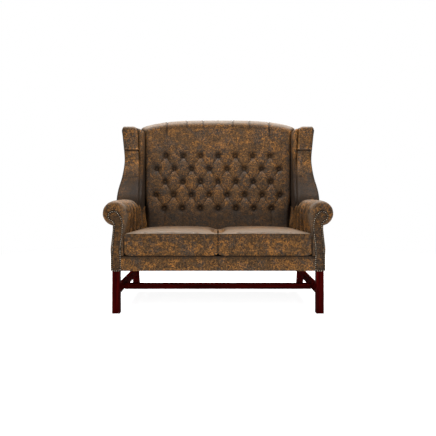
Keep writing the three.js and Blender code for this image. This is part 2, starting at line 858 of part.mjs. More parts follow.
function addWings() {
  const post = prism("x", [
    [front + outsideInner(skirtHeight) - postDepth - clearance, skirtHeight],
    [front + 2 * depth, skirtHeight],
    [front + 2 * depth, height],
    [front + outsideInner(height) - postDepth - clearance, height],
  ], 0, wingBoardInner + cutOverrun);
  const overBoard = block(0, width, front, front + 2 * depth, wingTop - wingTopCover, height + cutOverrun);
  const behindPost = cut(post, overBoard);
  const roll = rollForm(clearance);
  const behindNose = wingBehindNose(wingBoardInner, clearance);
  const pad = cut(wingForm(), behindNose, behindPost, roll, crestRail(clearance));
  addPair("wing_pad", pad, "leather");
  addPair("wing_frame", wingBoard(), "beech");
  const panelInner = wingBoardInner + wingBoardThickness + clearance;
  const panelSpace = cut(wingBehindNose(panelInner, 0), backPost(clearance));
  addPair("outside_wing_panel", cut(common(wingForm(), panelSpace), roll), "leather");
}

/** Setback of the plane in which the back's buttons lie. */
function padPlane(z) {
  return buttonPlaneFoot + backSlope * (z - cushionBottom);
}

/** Setback of the front faces of the rails behind the pad, its twine and the straps. */
function railPlane(z) {
  return padPlane(z) + padThickness + 2 * twine + strapThickness;
}

/** Height of the crest at a distance from the middle. */
function crestAt(x) {
  return height - crestDrop * (Math.abs(x) / crestHalf) ** crestPower;
}

/** 0 at every whole number and 1 halfway between. */
function wave(turns) {
  return Math.abs(Math.sin(Math.PI * turns));
}

/** How far the buttoned leather stands out in front of its buttons. */
function padPuff(x, z) {
  const across = x / buttonPitch;
  const up = (z - lowRowHeight) / rowHeight;
  const row = Math.min(Math.max(up, 0), rowCount - 1);
  const p = wave(across + row / 2);
  const q = wave(across - row / 2);
  const buttoned = padFoldRise * Math.max(p, q) + (padCrown - padFoldRise) * (p * q) ** foldPower;
  const pleated = padCrown - padPleat * (1 - wave(across) ** foldPower);
  return mix(buttoned, pleated, 2 * Math.abs(up - row));
}

const crestTurnShares = [0.3, 0.6, 1];

/** The buttoned pad as one block: tufted front, rounded crest and plain rear. */
function backPadForm() {
  const grid = buttonPitch / 4;
  const buttoned = ((rowPlaces(1).length - 1) / 2) * buttonPitch;
  const edges = steps(buttoned, padHalfTop + clearance, 2).slice(1);
  const half = [...steps(0, buttoned, buttoned / grid), ...edges];
  const stations = [...half.slice(1).map((x) => -x).reverse(), ...half];
  const roundFoot = crestAt(padHalfTop) - crestRound;
  const rowsUp = steps(lowRowHeight, rowZ(0), (rowCount - 1) * 2);
  const below = [cushionBottom, lowRowHeight - rowHeight / 2];
  const above = [rowZ(0) + rowHeight / 2, roundFoot];
  const heights = [...below, ...rowsUp, ...above];
  return loft(stations.map((x) => {
    const face = heights.map((z) => [x, front + padPlane(z) - padPuff(x, z), z]);
    const crown = crestAt(x) - (padPleat / 3) * (1 - wave(x / buttonPitch));
    const start = face.at(-1)[1];
    const over = crestTurnShares.map((share) => {
      const angle = (share * Math.PI) / 2;
      const y = start + crestRound * (1 - Math.cos(angle));
      return [x, y, roundFoot + (crown - roundFoot) * Math.sin(angle)];
    });
    const rearTop = crown - crestFall;
    return [
      ...face,
      ...over,
      [x, front + outsideInner(rearTop), rearTop],
      [x, front + outsideInner(cushionBottom), cushionBottom],
    ];
  }));
}

/** The pad's outline from the front: narrow between the arms, wider between the wings. */
function backPadOutline() {
  const right = [
    [padHalfLow, cushionBottom - cutOverrun],
    [padHalfLow, armHeight],
    [padHalfArm, armHeight],
    [padHalfTop, wingTop],
    [padHalfTop, height + cutOverrun],
  ];
  const left = right.map(([x, z]) => [-x, z]).reverse();
  return prism("y", [...right, ...left], front, front + depth);
}

/** Places across the back at which its curved crest and the rail under it turn. */
function crestPlaces(half) {
  return steps(-half, half, 2 * curveSteps);
}

/** The space behind the pad and under its crest, from side to side. */
function backCore() {
  const places = [-halfWidth, ...crestPlaces(webInner - clearance), halfWidth];
  return loft(places.map((x) => {
    const top = crestAt(x) - crestCover;
    const foot = cushionBottom - cutOverrun;
    return [
      [x, front + padPlane(foot) + padThickness, foot],
      [x, front + padPlane(top) + padThickness, top],
      [x, front + outsideSetback(top) + depth, top],
      [x, front + outsideSetback(foot) + depth, foot],
    ];
  }));
}

function crestRail(grow = 0) {
  return loft(crestPlaces(webInner - clearance).map((x) => {
    const top = crestAt(x) - crestCover - clearance + grow;
    const foot = crestRailFoot - grow;
    return [
      [x, front + railPlane(foot) - grow, foot],
      [x, front + railPlane(top) - grow, top],
      [x, front + outsideInner(top) + grow, top],
      [x, front + outsideInner(foot) + grow, foot],
    ];
  }));
}

function lowerBackRail(grow = 0) {
  const [foot, top] = [lowerRailFoot - grow, lowerRailTop + grow];
  const half = webInner - clearance + grow;
  const outline = [
    [front + railPlane(foot) - grow, foot],
    [front + railPlane(foot) + lowerRailDepth + grow, foot],
    [front + railPlane(top) + lowerRailDepth + grow, top],
    [front + railPlane(top) - grow, top],
  ];
  return prism("x", outline, -half, half);
}

/** Turns a geometry whose +Y is to point out of the leaning back, and puts it on the button plane. */
function onBack(geometry, x, z) {
  const outward = new THREE.Vector3(0, -1, backSlope).normalize();
  return stand(geometry, [x, front + padPlane(z), z], outward);
}

/** Places across the back of one row's buttons. The rows are offset by half a pitch in turn. */
function rowPlaces(row) {
  const count = row % 2 ? buttonsAcross + 1 : buttonsAcross;
  return steps(-(count - 1) / 2, (count - 1) / 2, count - 1).map((i) => i * buttonPitch);
}

function rowZ(row) {
  return lowRowHeight + (rowCount - 1 - row) * rowHeight;
}

function addBack() {
  addPair("back_post", backPost(), "beech");
  addPiece("crest_rail", crestRail(), "beech");
  addPiece("lower_back_rail", lowerBackRail(), "beech");
  ["left", "middle", "right"].forEach((place, i) => {
    const x = (i - 1) * strapPitch;
    const strapRear = (z) => front + railPlane(z) - clearance;
    const strap = [
      [strapRear(lowerRailFoot) - strapThickness, lowerRailFoot],
      [strapRear(lowerRailFoot), lowerRailFoot],
      [strapRear(strapTop), strapTop],
      [strapRear(strapTop) - strapThickness, strapTop],
    ];
    addPiece(`back_strap_${place}`, prism("x", strap, x - strapWidth / 2, x + strapWidth / 2), "webbing");
  });

  const holes = [];
  const stem = padThickness + twine;
  for (let row = 0; row < rowCount; row += 1) {
    const z = rowZ(row);
    const places = rowPlaces(row);
    const buttons = places.map((x) => onBack(button(stem), x, z));
    const end = places.at(-1) + twine / 2;
    const depthToTwine = padThickness * Math.cos(Math.atan(backSlope)) + clearance;
    const line = onBack(block(-end, end, -depthToTwine - twine, -depthToTwine, -twine / 2, twine / 2), 0, z);
    addPiece(`back_buttons_row_${row + 1}`, join(line, ...buttons), "leather");
    for (const x of places) {
      const hole = block(-twineHole / 2, twineHole / 2, -2 * stem, 2 * stem, -twineHole / 2, twineHole / 2);
      holes.push(onBack(hole, x, z));
    }
  }
  addPiece("back_pad", cut(common(backPadForm(), backPadOutline()), backCore(), ...holes), "leather");
  addPiece("outside_back_panel", outsideBack(), "leather");
}

const outsideRollDegrees = [-50, -25, 0, 30];

/** The flat leather rear, from the skirt round the arms and wings to the crest. */
function outsideBack() {
  const gap = nailEdge + clearance;
  const rollMiddle = rollOuterRear - rollRearWidth / 2;
  const roll = outsideRollDegrees.map((degrees) => {
    const angle = THREE.MathUtils.degToRad(degrees);
    const x = rollMiddle + (Math.cos(angle) * rollRearWidth) / 2;
    return [x, rollCentre + Math.sin(angle) * rollRadius];
  });
  const wing = steps(armHeight, wingTop - wingRound, curveSteps).map((z) => [wingOuterAt(z), z]);
  const crest = steps(crestHalf, 0, 10).map((x) => [x, crestAt(x) - crestFall]);
  const right = [
    [0, skirtHeight],
    [bodyOuter + gap + neckCoverThickness, skirtHeight],
    [bodyOuter + gap + sideCoverThickness, skirtHeight + nailHead],
    [bodyOuter + gap + sideCoverThickness, bodyTop],
    [neckOuter + gap + neckCoverThickness, neckFoot],
    ...roll,
    ...wing,
    [wingOuterAt(wingTop) - wingRound, wingTop - crestFall],
    ...crest,
  ];
  const left = right.slice(1, -1).map(([x, z]) => [-x, z]).reverse();
  const outline = [...right, ...left];
  const ringAt = (inward) => outline.map(([x, z]) => [x, front + outsideSetback(z) - inward, z]);
  return loft([ringAt(outsideThickness), ringAt(0)]);
}

/** Setback of the seat cushion's leaning rear face at a height. */
function cushionRear(z) {
  return padPlane(z) - padCrown - cushionRearGap;
}

const cushionAcrossShares = [0, 0.02, 0.06, 0.15, 0.28, 0.42, 0.58, 0.72, 0.85, 0.94, 0.98, 1];
const cushionDepthShares = [0.02, 0.08, 0.2, 0.36, 0.52, 0.68, 0.84, 0.94, 0.985];

/** A crowned cushion with drawn-in seams, made smaller all round by an inset. */
function cushionForm(inset) {
  const top = cushionBottom + cushionEdgeHeight - inset;
  const foot = cushionBottom + inset;
  const waist = (top + foot) / 2;
  return loft(cushionAcrossShares.map((share) => {
    const ending = Math.max(1 - Math.min(share, 1 - share) / cushionAcrossShares[2], 0) ** 2;
    const corner = cushionCorner * ending;
    const across = (y) => {
      const [inner, outer] = [cushionGap / 2 + inset, armFace(y) - clearance - inset];
      return mix(inner, outer, share);
    };
    const start = cushionSetback + inset + corner;
    const end = (z) => cushionRear(z) - inset - corner;
    const point = (y, z) => [across(y), front + y, z];
    const swell = Math.sqrt(Math.sin(Math.PI * share));
    const crown = cushionDepthShares.map((along) => {
      const rise = (cushionCrown * swell) * Math.sqrt(Math.sin(Math.PI * along));
      return point(mix(start, end(top), along), top - corner / 3 + rise);
    });
    return [
      point(start, foot + corner / 2),
      point(start - cushionBulge + corner / 3, waist),
      point(start, top - corner / 3),
      ...crown,
      point(end(top), top - corner / 3),
      point(end(waist) + cushionBulge / 2, waist),
      point(end(foot), foot),
      point(start + cushionCorner, foot),
    ];
  }));
}

function addCushions() {
  const [zipStart, zipEnd] = [armFaceInner / 2 - zipWidth / 2, armFaceInner / 2 + zipWidth / 2];
  const zipLevel = cushionBottom + cushionEdgeHeight / 2;
  const [zipFoot, zipTop] = [zipLevel - zipHeight / 2, zipLevel + zipHeight / 2];
  const rear = front + cushionRear(zipLevel);
  const slot = block(zipStart, zipEnd, rear - 2 * coverThickness, rear + 2 * coverThickness, zipFoot, zipTop);
  addPair("seat_cushion", cut(cushionForm(0), cushionForm(coverThickness - clearance), slot), "leather");
  addPair("cushion_foam", cushionForm(coverThickness), "foam");
  const half = bodyInner - nailEdge - clearance;
  const coverRear = front + legRear - railThickness - clearance;
  addPiece("front_rail_cover", block(-half, half, front, coverRear, skirtHeight, deckTop), "leather");
}

addShowWood();
addSeatFrame();
addSuspension();
addArms();
addWings();
addBack();
addCushions();

export default settee;
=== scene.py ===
"""High back settee in waxed brown leather, on square mahogany legs.

Metres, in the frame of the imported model: X to the right as seen from the front,
Y to the rear, Z up from the floor. A setback is measured to the rear from the
plane of the front panels.
"""
import logging
import math
from collections.abc import Sequence
from dataclasses import dataclass, field
from enum import Enum

import bmesh
import bpy
import numpy as np
from mathutils import Matrix, Vector, noise


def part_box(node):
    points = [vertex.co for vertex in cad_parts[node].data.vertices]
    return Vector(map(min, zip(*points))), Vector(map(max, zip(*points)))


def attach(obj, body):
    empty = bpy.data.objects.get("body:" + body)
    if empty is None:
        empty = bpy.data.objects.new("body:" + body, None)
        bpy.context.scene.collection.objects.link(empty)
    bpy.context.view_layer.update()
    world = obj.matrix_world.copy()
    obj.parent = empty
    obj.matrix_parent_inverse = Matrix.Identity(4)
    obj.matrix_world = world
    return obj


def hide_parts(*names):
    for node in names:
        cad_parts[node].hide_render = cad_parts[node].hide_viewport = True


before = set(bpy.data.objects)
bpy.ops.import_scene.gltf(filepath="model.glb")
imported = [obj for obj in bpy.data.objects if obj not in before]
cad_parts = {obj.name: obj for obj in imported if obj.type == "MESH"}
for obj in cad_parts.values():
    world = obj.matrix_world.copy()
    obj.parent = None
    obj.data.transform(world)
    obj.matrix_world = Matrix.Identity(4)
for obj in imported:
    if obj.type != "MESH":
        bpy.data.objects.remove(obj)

log = logging.getLogger("settee")
Array = np.ndarray
CLEARANCE = 0.0003


class Side(Enum):
    """The two ends of the settee, as seen from the front."""

    LEFT = -1
    RIGHT = 1

    def name_of(self, piece: str) -> str:
        """Returns the name of this side's copy of a piece."""
        return f"{piece}_{self.name.lower()}"


class Grain(Enum):
    """The direction in which the grain of a piece of wood runs."""

    ACROSS = 0
    BACKWARD = 1
    UPWARD = 2


def mix(start: Array | float, end: Array | float, share: Array | float) -> Array:
    """Returns the value a share of the way from start to end, held between them."""
    return start + (end - start) * np.clip(share, 0.0, 1.0)


def ease(share: Array | float) -> Array:
    """Returns a share that starts and ends gently."""
    held = np.clip(share, 0.0, 1.0)
    return held * held * (3.0 - 2.0 * held)


def wave(turns: Array | float) -> Array:
    """Returns 0 at whole numbers and 1 halfway between them."""
    return np.abs(np.sin(np.pi * np.asarray(turns)))

def step(value: Array | float, start: float, width: float) -> Array:
    """Returns a share that rises gently from 0 at start to 1 a width after it."""
    return ease((value - start) / width)


def bell(distance: Array | float, width: float) -> Array:
    """Returns 1 at no distance, and less the further away, on the scale of a width."""
    return np.exp(-((distance / width) ** 2))


def signed_power(value: Array, power: float) -> Array:
    """Raises the size of a value to a power and keeps its sign."""
    return np.sign(value) * np.abs(value) ** power


def stacked(*coordinates: Array | float) -> Array:
    """Returns points of coordinates, each of them an array or one number for all points."""
    return np.stack(np.broadcast_arrays(*coordinates), axis=-1)


def run_of(line: Array) -> Array:
    """Returns how far along a line each of its points lies."""
    return np.concatenate([[0.0], np.cumsum(np.linalg.norm(np.diff(line, axis=0), axis=1))])


def resampled(line: Array, distances: Array) -> Array:
    """Returns the places at some distances along a flat line."""
    run = run_of(line)
    return stacked(*(np.interp(distances, run, line[:, axis]) for axis in range(2)))



def unevenness(points: Array, size: float, seed: float) -> Array:
    """Measures smooth noise at points.

    Args:
        points: Places, as an array that ends in three coordinates.
        size: The distance over which the noise changes.
        seed: Which of the possible noises it is.

    Returns:
        Values from about -1 to 1, one for each place.
    """
    flat = points.reshape(-1, 3) / size + seed * 17.31
    values = np.fromiter((noise.noise(Vector(place)) for place in flat), float, len(flat))
    return values.reshape(points.shape[:-1])


class Meshwork:
    """Makes meshes of rings of points, and the objects that carry them."""

    @staticmethod
    def facing_up(piece: bpy.types.Object) -> Array:
        """Returns how much each point of a piece faces upwards, from -1 to 1."""
        normals = np.empty(len(piece.data.vertices) * 3)
        piece.data.vertices.foreach_get("normal", normals)
        return normals.reshape(-1, 3)[:, 2]

    @staticmethod
    def paint(piece: bpy.types.Object, name: str, share: Array) -> None:
        """Records a share from 0 to 1 at each point of a piece, for its material to read."""
        layer = piece.data.attributes.new(name, "FLOAT", "POINT")
        layer.data.foreach_set("value", np.clip(np.asarray(share, float).ravel(), 0.0, 1.0))

    @staticmethod
    def piece(name: str, vertices: Array, faces: Sequence, fold: Array | None = None) -> bpy.types.Object:
        """Makes one smooth object.

        Args:
            name: The object's name.
            vertices: Its points.
            faces: Its faces, as lists of point numbers.
            fold: How much painted shade each point gets, from 0 to 1; on nails, how much patina.

        Returns:
            The new object, with its faces pointing outwards.
        """
        mesh = bpy.data.meshes.new(name)
        mesh.from_pydata(np.asarray(vertices).tolist(), [], faces)
        work = bmesh.new()
        work.from_mesh(mesh)
        bmesh.ops.recalc_face_normals(work, faces=work.faces)
        work.to_mesh(mesh)
        work.free()
        mesh.shade_smooth()
        piece = bpy.data.objects.new(name, mesh)
        bpy.context.scene.collection.objects.link(piece)
        # The material darkens each point by this share: painted shade on leather, patina on nails.
        if fold is not None:
            Meshwork.paint(piece, "fold", fold)
        return piece

    @staticmethod
    def quads(ring: Array, after: Array) -> list[list[int]]:
        """Returns the faces between closed rings of point numbers and those after them."""
        corners = [ring, np.roll(ring, -1, axis=1), np.roll(after, -1, axis=1), after]
        return np.stack(corners, axis=-1).reshape(-1, 4).tolist()

    @staticmethod
    def shell(name: str, rings: Array, fold: Array | None = None) -> bpy.types.Object:
        """Skins matching closed rings of points, and closes both ends.

        Args:
            name: The object's name.
            rings: Points, in an array of rings by points by three.
            fold: How much painted shade each point gets, in rings by points.

        Returns:
            The new object.
        """
        count, around = rings.shape[:2]
        number = np.arange(count * around).reshape(count, around)
        faces = Meshwork.quads(number[:-1], number[1:])
        vertices = np.vstack([rings.reshape(-1, 3), rings[0].mean(axis=0), rings[-1].mean(axis=0)])
        for ring, centre in ((number[0], count * around), (number[-1], count * around + 1)):
            faces += [[int(a), int(b), centre] for a, b in zip(ring, np.roll(ring, -1))]
        depth = None if fold is None else np.append(fold, [0.5, 0.5])
        return Meshwork.piece(name, vertices, faces, depth)

    @staticmethod
    def mirrored(name: str, piece: bpy.types.Object) -> bpy.types.Object:
        """Returns a copy of a piece for the other end of the settee, with its own mesh."""
        mesh = piece.data.copy()
        mesh.transform(Matrix.Diagonal((-1.0, 1.0, 1.0, 1.0)))
        mesh.flip_normals()
        copy = bpy.data.objects.new(name, mesh)
        bpy.context.scene.collection.objects.link(copy)
        return copy

    @staticmethod
    def select(*pieces: bpy.types.Object) -> None:
        """Selects some pieces alone, with the first as the active one."""
        bpy.ops.object.select_all(action="DESELECT")
        for piece in pieces:
            piece.select_set(True)
        bpy.context.view_layer.objects.active = pieces[0]

    @staticmethod
    def joined(name: str, parts: Sequence[bpy.types.Object]) -> bpy.types.Object:
        """Joins several objects into the first, and names it."""
        Meshwork.select(*parts)
        bpy.ops.object.join()
        parts[0].name = name
        parts[0].data.name = name
        return parts[0]

    @staticmethod
    def modified(piece: bpy.types.Object, kind: str, **settings: object) -> None:
        """Adds a modifier to a piece and applies it."""
        modifier = piece.modifiers.new(kind.title(), kind)
        for setting, value in settings.items():
            setattr(modifier, setting, value)
        Meshwork.select(piece)
        bpy.ops.object.modifier_apply(modifier=modifier.name)

    @staticmethod
    def points(piece: bpy.types.Object) -> Array:
        """Returns the points of a piece's mesh."""
        values = np.empty(len(piece.data.vertices) * 3)
        piece.data.vertices.foreach_get("co", values)
        return values.reshape(-1, 3)

    @staticmethod
    def place(piece: bpy.types.Object, points: Array) -> None:
        """Moves the points of a piece's mesh."""
        piece.data.vertices.foreach_set("co", np.asarray(points).ravel())
        piece.data.update()


class Value:
    """The output of a node. Python's operators on it add Math nodes."""

    def __init__(self, tree: "Tree", socket: bpy.types.NodeSocket) -> None:
        """Wraps a socket of a tree."""
        self.tree = tree
        self.socket = socket

    def math(self, operation: str, first: object, second: object) -> "Value":
        """Adds a Math node of two values."""
        return self.tree.node("ShaderNodeMath", {"operation": operation}, {0: first, 1: second})

    def __add__(self, other: object) -> "Value":
        """Adds."""
        return self.math("ADD", self, other)

    def __rsub__(self, other: object) -> "Value":
        """Subtracts from a number."""
        return self.math("SUBTRACT", other, self)

    def __mul__(self, other: object) -> "Value":
        """Multiplies."""
        return self.math("MULTIPLY", self, other)

    def between(self, low: float, high: float) -> "Value":
        """Returns 0 below low, 1 above high, and a smooth step between them."""
        settings = {"interpolation_type": "SMOOTHSTEP"}
        return self.tree.node("ShaderNodeMapRange", settings, {"Value": self, 1: low, 2: high})


class Tree:
    """A tree of nodes that are added one by one."""

    def __init__(self, tree: bpy.types.NodeTree, output: str) -> None:
        """Takes a tree, with the name of its output node."""
        self.nodes = tree.nodes
        self.links = tree.links
        self.output = self.nodes[output]

    def node(self, kind: str, settings: dict[str, object], inputs: dict, output: int | str = 0) -> Value:
        """Adds a node.

        Args:
            kind: The node's type.
            settings: The node's own settings, which are made first.
            inputs: Values or links of its sockets, by name or number.
            output: Which of its outputs is returned.

        Returns:
            The output.
        """
        made = self.nodes.new(kind)
        for setting, value in settings.items():
            setattr(made, setting, value)
        for key, value in inputs.items():
            self.feed(made.inputs[key], value)
        return Value(self, made.outputs[output])

    def feed(self, socket: bpy.types.NodeSocket, value: object) -> None:
        """Links a socket to a value, or sets it."""
        if isinstance(value, Value):
            self.links.new(value.socket, socket)
        elif isinstance(value, tuple) and len(value) == 3 and socket.type == "RGBA":
            socket.default_value = (*value, 1.0)
        else:
            socket.default_value = value


class Shader(Tree):
    """The node tree of one material."""

    def __init__(self, name: str) -> None:
        """Starts a material that has only its principled shader."""
        self.material = bpy.data.materials.new(name)
        self.material.use_nodes = True
        super().__init__(self.material.node_tree, "Material Output")
        self.principled = self.nodes["Principled BSDF"]

    def place(self) -> Value:
        """Returns the place on the object."""
        return self.node("ShaderNodeTexCoord", {}, {}, "Object")

    def painted_share(self, name: str) -> Value:
        """Returns a share that is recorded at the points of the piece."""
        return self.node("ShaderNodeAttribute", {"attribute_name": name}, {}, "Fac")

    def stretched(self, place: Value, scale: tuple[float, float, float]) -> Value:
        """Returns a place with each of its coordinates scaled."""
        return self.node("ShaderNodeMapping", {}, {"Vector": place, "Scale": scale})

    def noise(self, place: Value, scale: float, detail: float, roughness: float = 0.5, bend: float = 0.0) -> Value:
        """Adds a noise texture and returns its value."""
        inputs = {"Vector": place, "Scale": scale, "Detail": detail, "Roughness": roughness, "Distortion": bend}
        return self.node("ShaderNodeTexNoise", {}, inputs, "Fac")

    def cells(self, place: Value, scale: float, feature: str = "F1") -> Value:
        """Adds a texture of cells and returns the distance in them."""
        return self.node("ShaderNodeTexVoronoi", {"feature": feature}, {"Vector": place, "Scale": scale}, "Distance")

    def warped(self, place: Value, scale: float, amount: float) -> Value:
        """Returns a place moved about by a noise of a given scale."""
        moved = {"Vector": place, "Scale": scale, "Detail": 4.0, "Roughness": 0.7}
        colour = self.node("ShaderNodeTexNoise", {}, moved, "Color")
        inputs = {0: colour, 1: (amount,) * 3, 2: place}
        return self.node("ShaderNodeVectorMath", {"operation": "MULTIPLY_ADD"}, inputs)

    def painted(self, share: Value, under: object, over: object) -> Value:
        """Returns one colour painted over another, where share is 1."""
        return self.node("ShaderNodeMix", {"data_type": "RGBA"}, {0: share, 6: under, 7: over}, 2)

    def raised(self, height: Value, distance: float, strength: float, under: Value | None = None) -> Value:
        """Adds a bump of a height, over another bump if there is one."""
        inputs = {"Height": height, "Distance": distance, "Strength": strength}
        if under is not None:
            inputs["Normal"] = under
        return self.node("ShaderNodeBump", {}, inputs, "Normal")

    def finish(self, **inputs: object) -> bpy.types.Material:
        """Feeds the principled shader, whose sockets' spaces are written as underscores."""
        for key, value in inputs.items():
            self.feed(self.principled.inputs[key.replace("_", " ")], value)
        return self.material


@dataclass(frozen=True)
class Leather:
    """Waxed leather: slate brown, worn to tan in veins and patches, darkened by painted shade in creases and hollows,
    and painted a pale grey sheen on top faces and edges.
    """

    brown: tuple[float, float, float] = (0.082, 0.044, 0.017)
    slate: tuple[float, float, float] = (0.056, 0.040, 0.027)
    dark: tuple[float, float, float] = (0.014, 0.008, 0.004)
    tan: tuple[float, float, float] = (0.500, 0.204, 0.043)
    shade: tuple[float, float, float] = (0.012, 0.007, 0.004)
    # The colour of the painted sheen, a pale grey that stands in for the lamps' shine.
    sheen_grey: tuple[float, float, float] = (0.134, 0.099, 0.070)
    patch: float = 13.0
    mottle: float = 74.0
    vein: float = 34.0
    speck: float = 110.0
    pore: float = 620.0
    bend: float = 0.030
    roughness: float = 0.50
    wax: float = 0.03
    shine: float = 0.16
    cloud_ratio: float = 1.6
    thin_ratio: float = 2.6
    thin_bend: float = 0.4
    thick_width: float = 0.075
    thin_width: float = 0.11
    thick_wear: float = 0.38
    thin_wear: float = 0.40
    speck_wear: float = 0.32
    dark_share: float = 0.78
    sheen_share: float = 0.9
    shaded_share: float = 0.88

    def _veins(self, shader: Shader, place: Value, scale: float, bend: float, width: float) -> Value:
        """Returns the share of thin worn lines along the edges of warped cells."""
        cells = shader.cells(shader.warped(place, scale * 1.3, bend), scale, "DISTANCE_TO_EDGE")
        return 1.0 - cells.between(0.0, width)

    def material(self) -> bpy.types.Material:
        """Builds the leather's material and returns it."""
        shader = Shader("leather")
        place = shader.place()
        # Painted shade and painted sheen, recorded at the points of each piece.
        fold = shader.painted_share("fold")
        rub = shader.painted_share("rub")
        patches = shader.noise(place, self.patch, 5.0, 0.62, 0.6)
        mottle = shader.noise(place, self.mottle, 5.0, 0.72, 0.6)
        specks = shader.noise(place, self.speck, 3.0, 0.7, 0.4)
        clouds = shader.noise(place, self.patch * self.cloud_ratio, 5.0, 0.64, 0.8)
        ground = shader.painted(patches.between(0.47, 0.57), self.brown, self.slate)
        ground = shader.painted(mottle.between(0.46, 0.58) * self.dark_share, ground, self.dark)
        thick = self._veins(shader, place, self.vein, self.bend, self.thick_width)
        thick = thick * clouds.between(0.45, 0.56)
        thin = self._veins(shader, place, self.vein * self.thin_ratio, self.bend * self.thin_bend, self.thin_width)
        thin = thin * specks.between(0.44, 0.56)
        dots = (specks * 0.6 + clouds * 0.4).between(0.535, 0.575)
        worn = thick * self.thick_wear + thin * self.thin_wear + dots * self.speck_wear
        # The worn veins fade under the painted shade and the painted sheen.
        worn = worn * (1.0 - fold * 0.6) * (1.0 - rub * 0.8)
        # Painted sheen: a pale grey over top faces and lit edges.
        coloured = shader.painted(rub * self.sheen_share, ground, self.sheen_grey)
        coloured = shader.painted(worn, coloured, self.tan)
        # Painted shade: darkened towards the shade colour in creases, pits, seams and lower, hidden parts.
        shaded = shader.painted(fold * self.shaded_share, coloured, self.shade)
        pores = shader.cells(place, self.pore)
        low = shader.raised(mottle, 0.0012, 0.30)
        bump = shader.raised(pores, 0.0004, 0.40, low)
        rough = patches * 0.16 + specks * 0.12 + (self.roughness - 0.14) + fold * 0.2
        return shader.finish(
            Base_Color=shaded, Roughness=rough, Normal=bump, Coat_Weight=self.wax, Coat_Roughness=0.35, IOR=1.40,
            Specular_IOR_Level=self.shine,
        )


@dataclass(frozen=True)
class Mahogany:
    """Dark red wood under lacquer, with its grain along the piece."""

    grain: Grain
    dark: tuple[float, float, float] = (0.022, 0.0005, 0.0003)
    red: tuple[float, float, float] = (0.074, 0.0013, 0.0008)
    streak: float = 60.0
    gloss: float = 0.02

    def material(self) -> bpy.types.Material:
        """Builds the wood's material and returns it."""
        shader = Shader(f"mahogany_{self.grain.name.lower()}")
        scale = [1.0, 1.0, 1.0]
        scale[self.grain.value] = 0.06
        along = shader.stretched(shader.place(), tuple(scale))
        streaks = shader.noise(along, self.streak, 5.0, 0.6, 0.3)
        pores = shader.noise(along, self.streak * 12.0, 2.0)
        figure = shader.painted(streaks.between(0.32, 0.68), self.dark, self.red)
        colour = shader.painted(pores.between(0.58, 0.70) * 0.5, figure, self.dark)
        bump = shader.raised(pores, 0.0003, 0.2)
        return shader.finish(
            Base_Color=colour, Roughness=streaks * 0.10 + 0.30, Normal=bump, Specular_IOR_Level=0.0,
            Coat_Weight=self.gloss, Coat_Roughness=0.25,
        )


@dataclass(frozen=True)
class FrameTimber:
    """Pale sawn timber of the hidden frame."""

    pale: tuple[float, float, float] = (0.52, 0.33, 0.16)
    brown: tuple[float, float, float] = (0.33, 0.18, 0.08)

    def material(self) -> bpy.types.Material:
        """Builds the timber's material and returns it."""
        shader = Shader("frame_timber")
        along = shader.stretched(shader.place(), (0.2, 1.0, 1.0))
        rings = shader.noise(along, 40.0, 5.0, 0.6, 1.2)
        saw = shader.noise(along, 400.0, 2.0)
        colour = shader.painted(rings.between(0.35, 0.65), self.pale, self.brown)
        bump = shader.raised(saw, 0.0004, 0.4)
        return shader.finish(Base_Color=colour, Roughness=saw * 0.15 + 0.6, Normal=bump)


@dataclass(frozen=True)
class AgedBronze:
    """Nail heads of aged bronze, dark in the hollows and bright on the crowns."""

    dark: tuple[float, float, float] = (0.010, 0.006, 0.004)
    bright: tuple[float, float, float] = (0.60, 0.49, 0.37)

    def material(self) -> bpy.types.Material:
        """Builds the bronze's material and returns it."""
        shader = Shader("nail_bronze")
        fold = shader.painted_share("fold")
        stains = shader.noise(shader.place(), 260.0, 3.0)
        crown = (1.0 - fold) * stains.between(0.30, 0.62)
        colour = shader.painted(crown, self.dark, self.bright)
        bump = shader.raised(stains, 0.0003, 0.3)
        return shader.finish(Base_Color=colour, Metallic=1.0, Roughness=stains * 0.25 + 0.22, Normal=bump)


@dataclass(frozen=True)
class PlainFinish:
    """A hidden finish: a colour with a second one over it, in a noise of a given scale."""

    name: str
    colour: tuple[float, float, float]
    other: tuple[float, float, float]
    scale: float
    roughness: float = 0.8
    metallic: float = 0.0

    def material(self) -> bpy.types.Material:
        """Builds the finish's material and returns it."""
        shader = Shader(self.name)
        grain = shader.noise(shader.place(), self.scale, 4.0, 0.6)
        colour = shader.painted(grain.between(0.35, 0.65), self.colour, self.other)
        bump = shader.raised(grain, 0.0005, 0.5)
        rough = grain * 0.1 + (self.roughness - 0.05)
        return shader.finish(Base_Color=colour, Metallic=self.metallic, Roughness=rough, Normal=bump)


@dataclass(frozen=True)
class Weave:
    """A plain weave, crossed by threads in two directions."""

    name: str
    dark: tuple[float, float, float]
    light: tuple[float, float, float]
    threads: float = 900.0

    def material(self) -> bpy.types.Material:
        """Builds the cloth's material and returns it."""
        shader = Shader(self.name)
        place = shader.place()
        inputs = {"Vector": place, "Scale": self.threads / 6.3}
        warp, weft = (
            shader.node("ShaderNodeTexWave", {"wave_type": "BANDS", "bands_direction": axis}, inputs, "Fac")
            for axis in "XY"
        )
        height = warp * weft
        slubs = shader.noise(place, 90.0, 3.0)
        colour = shader.painted(height * 0.6 + slubs * 0.4, self.dark, self.light)
        bump = shader.raised(height, 0.0004, 0.5)
        return shader.finish(Base_Color=colour, Roughness=slubs * 0.1 + 0.82, Normal=bump)


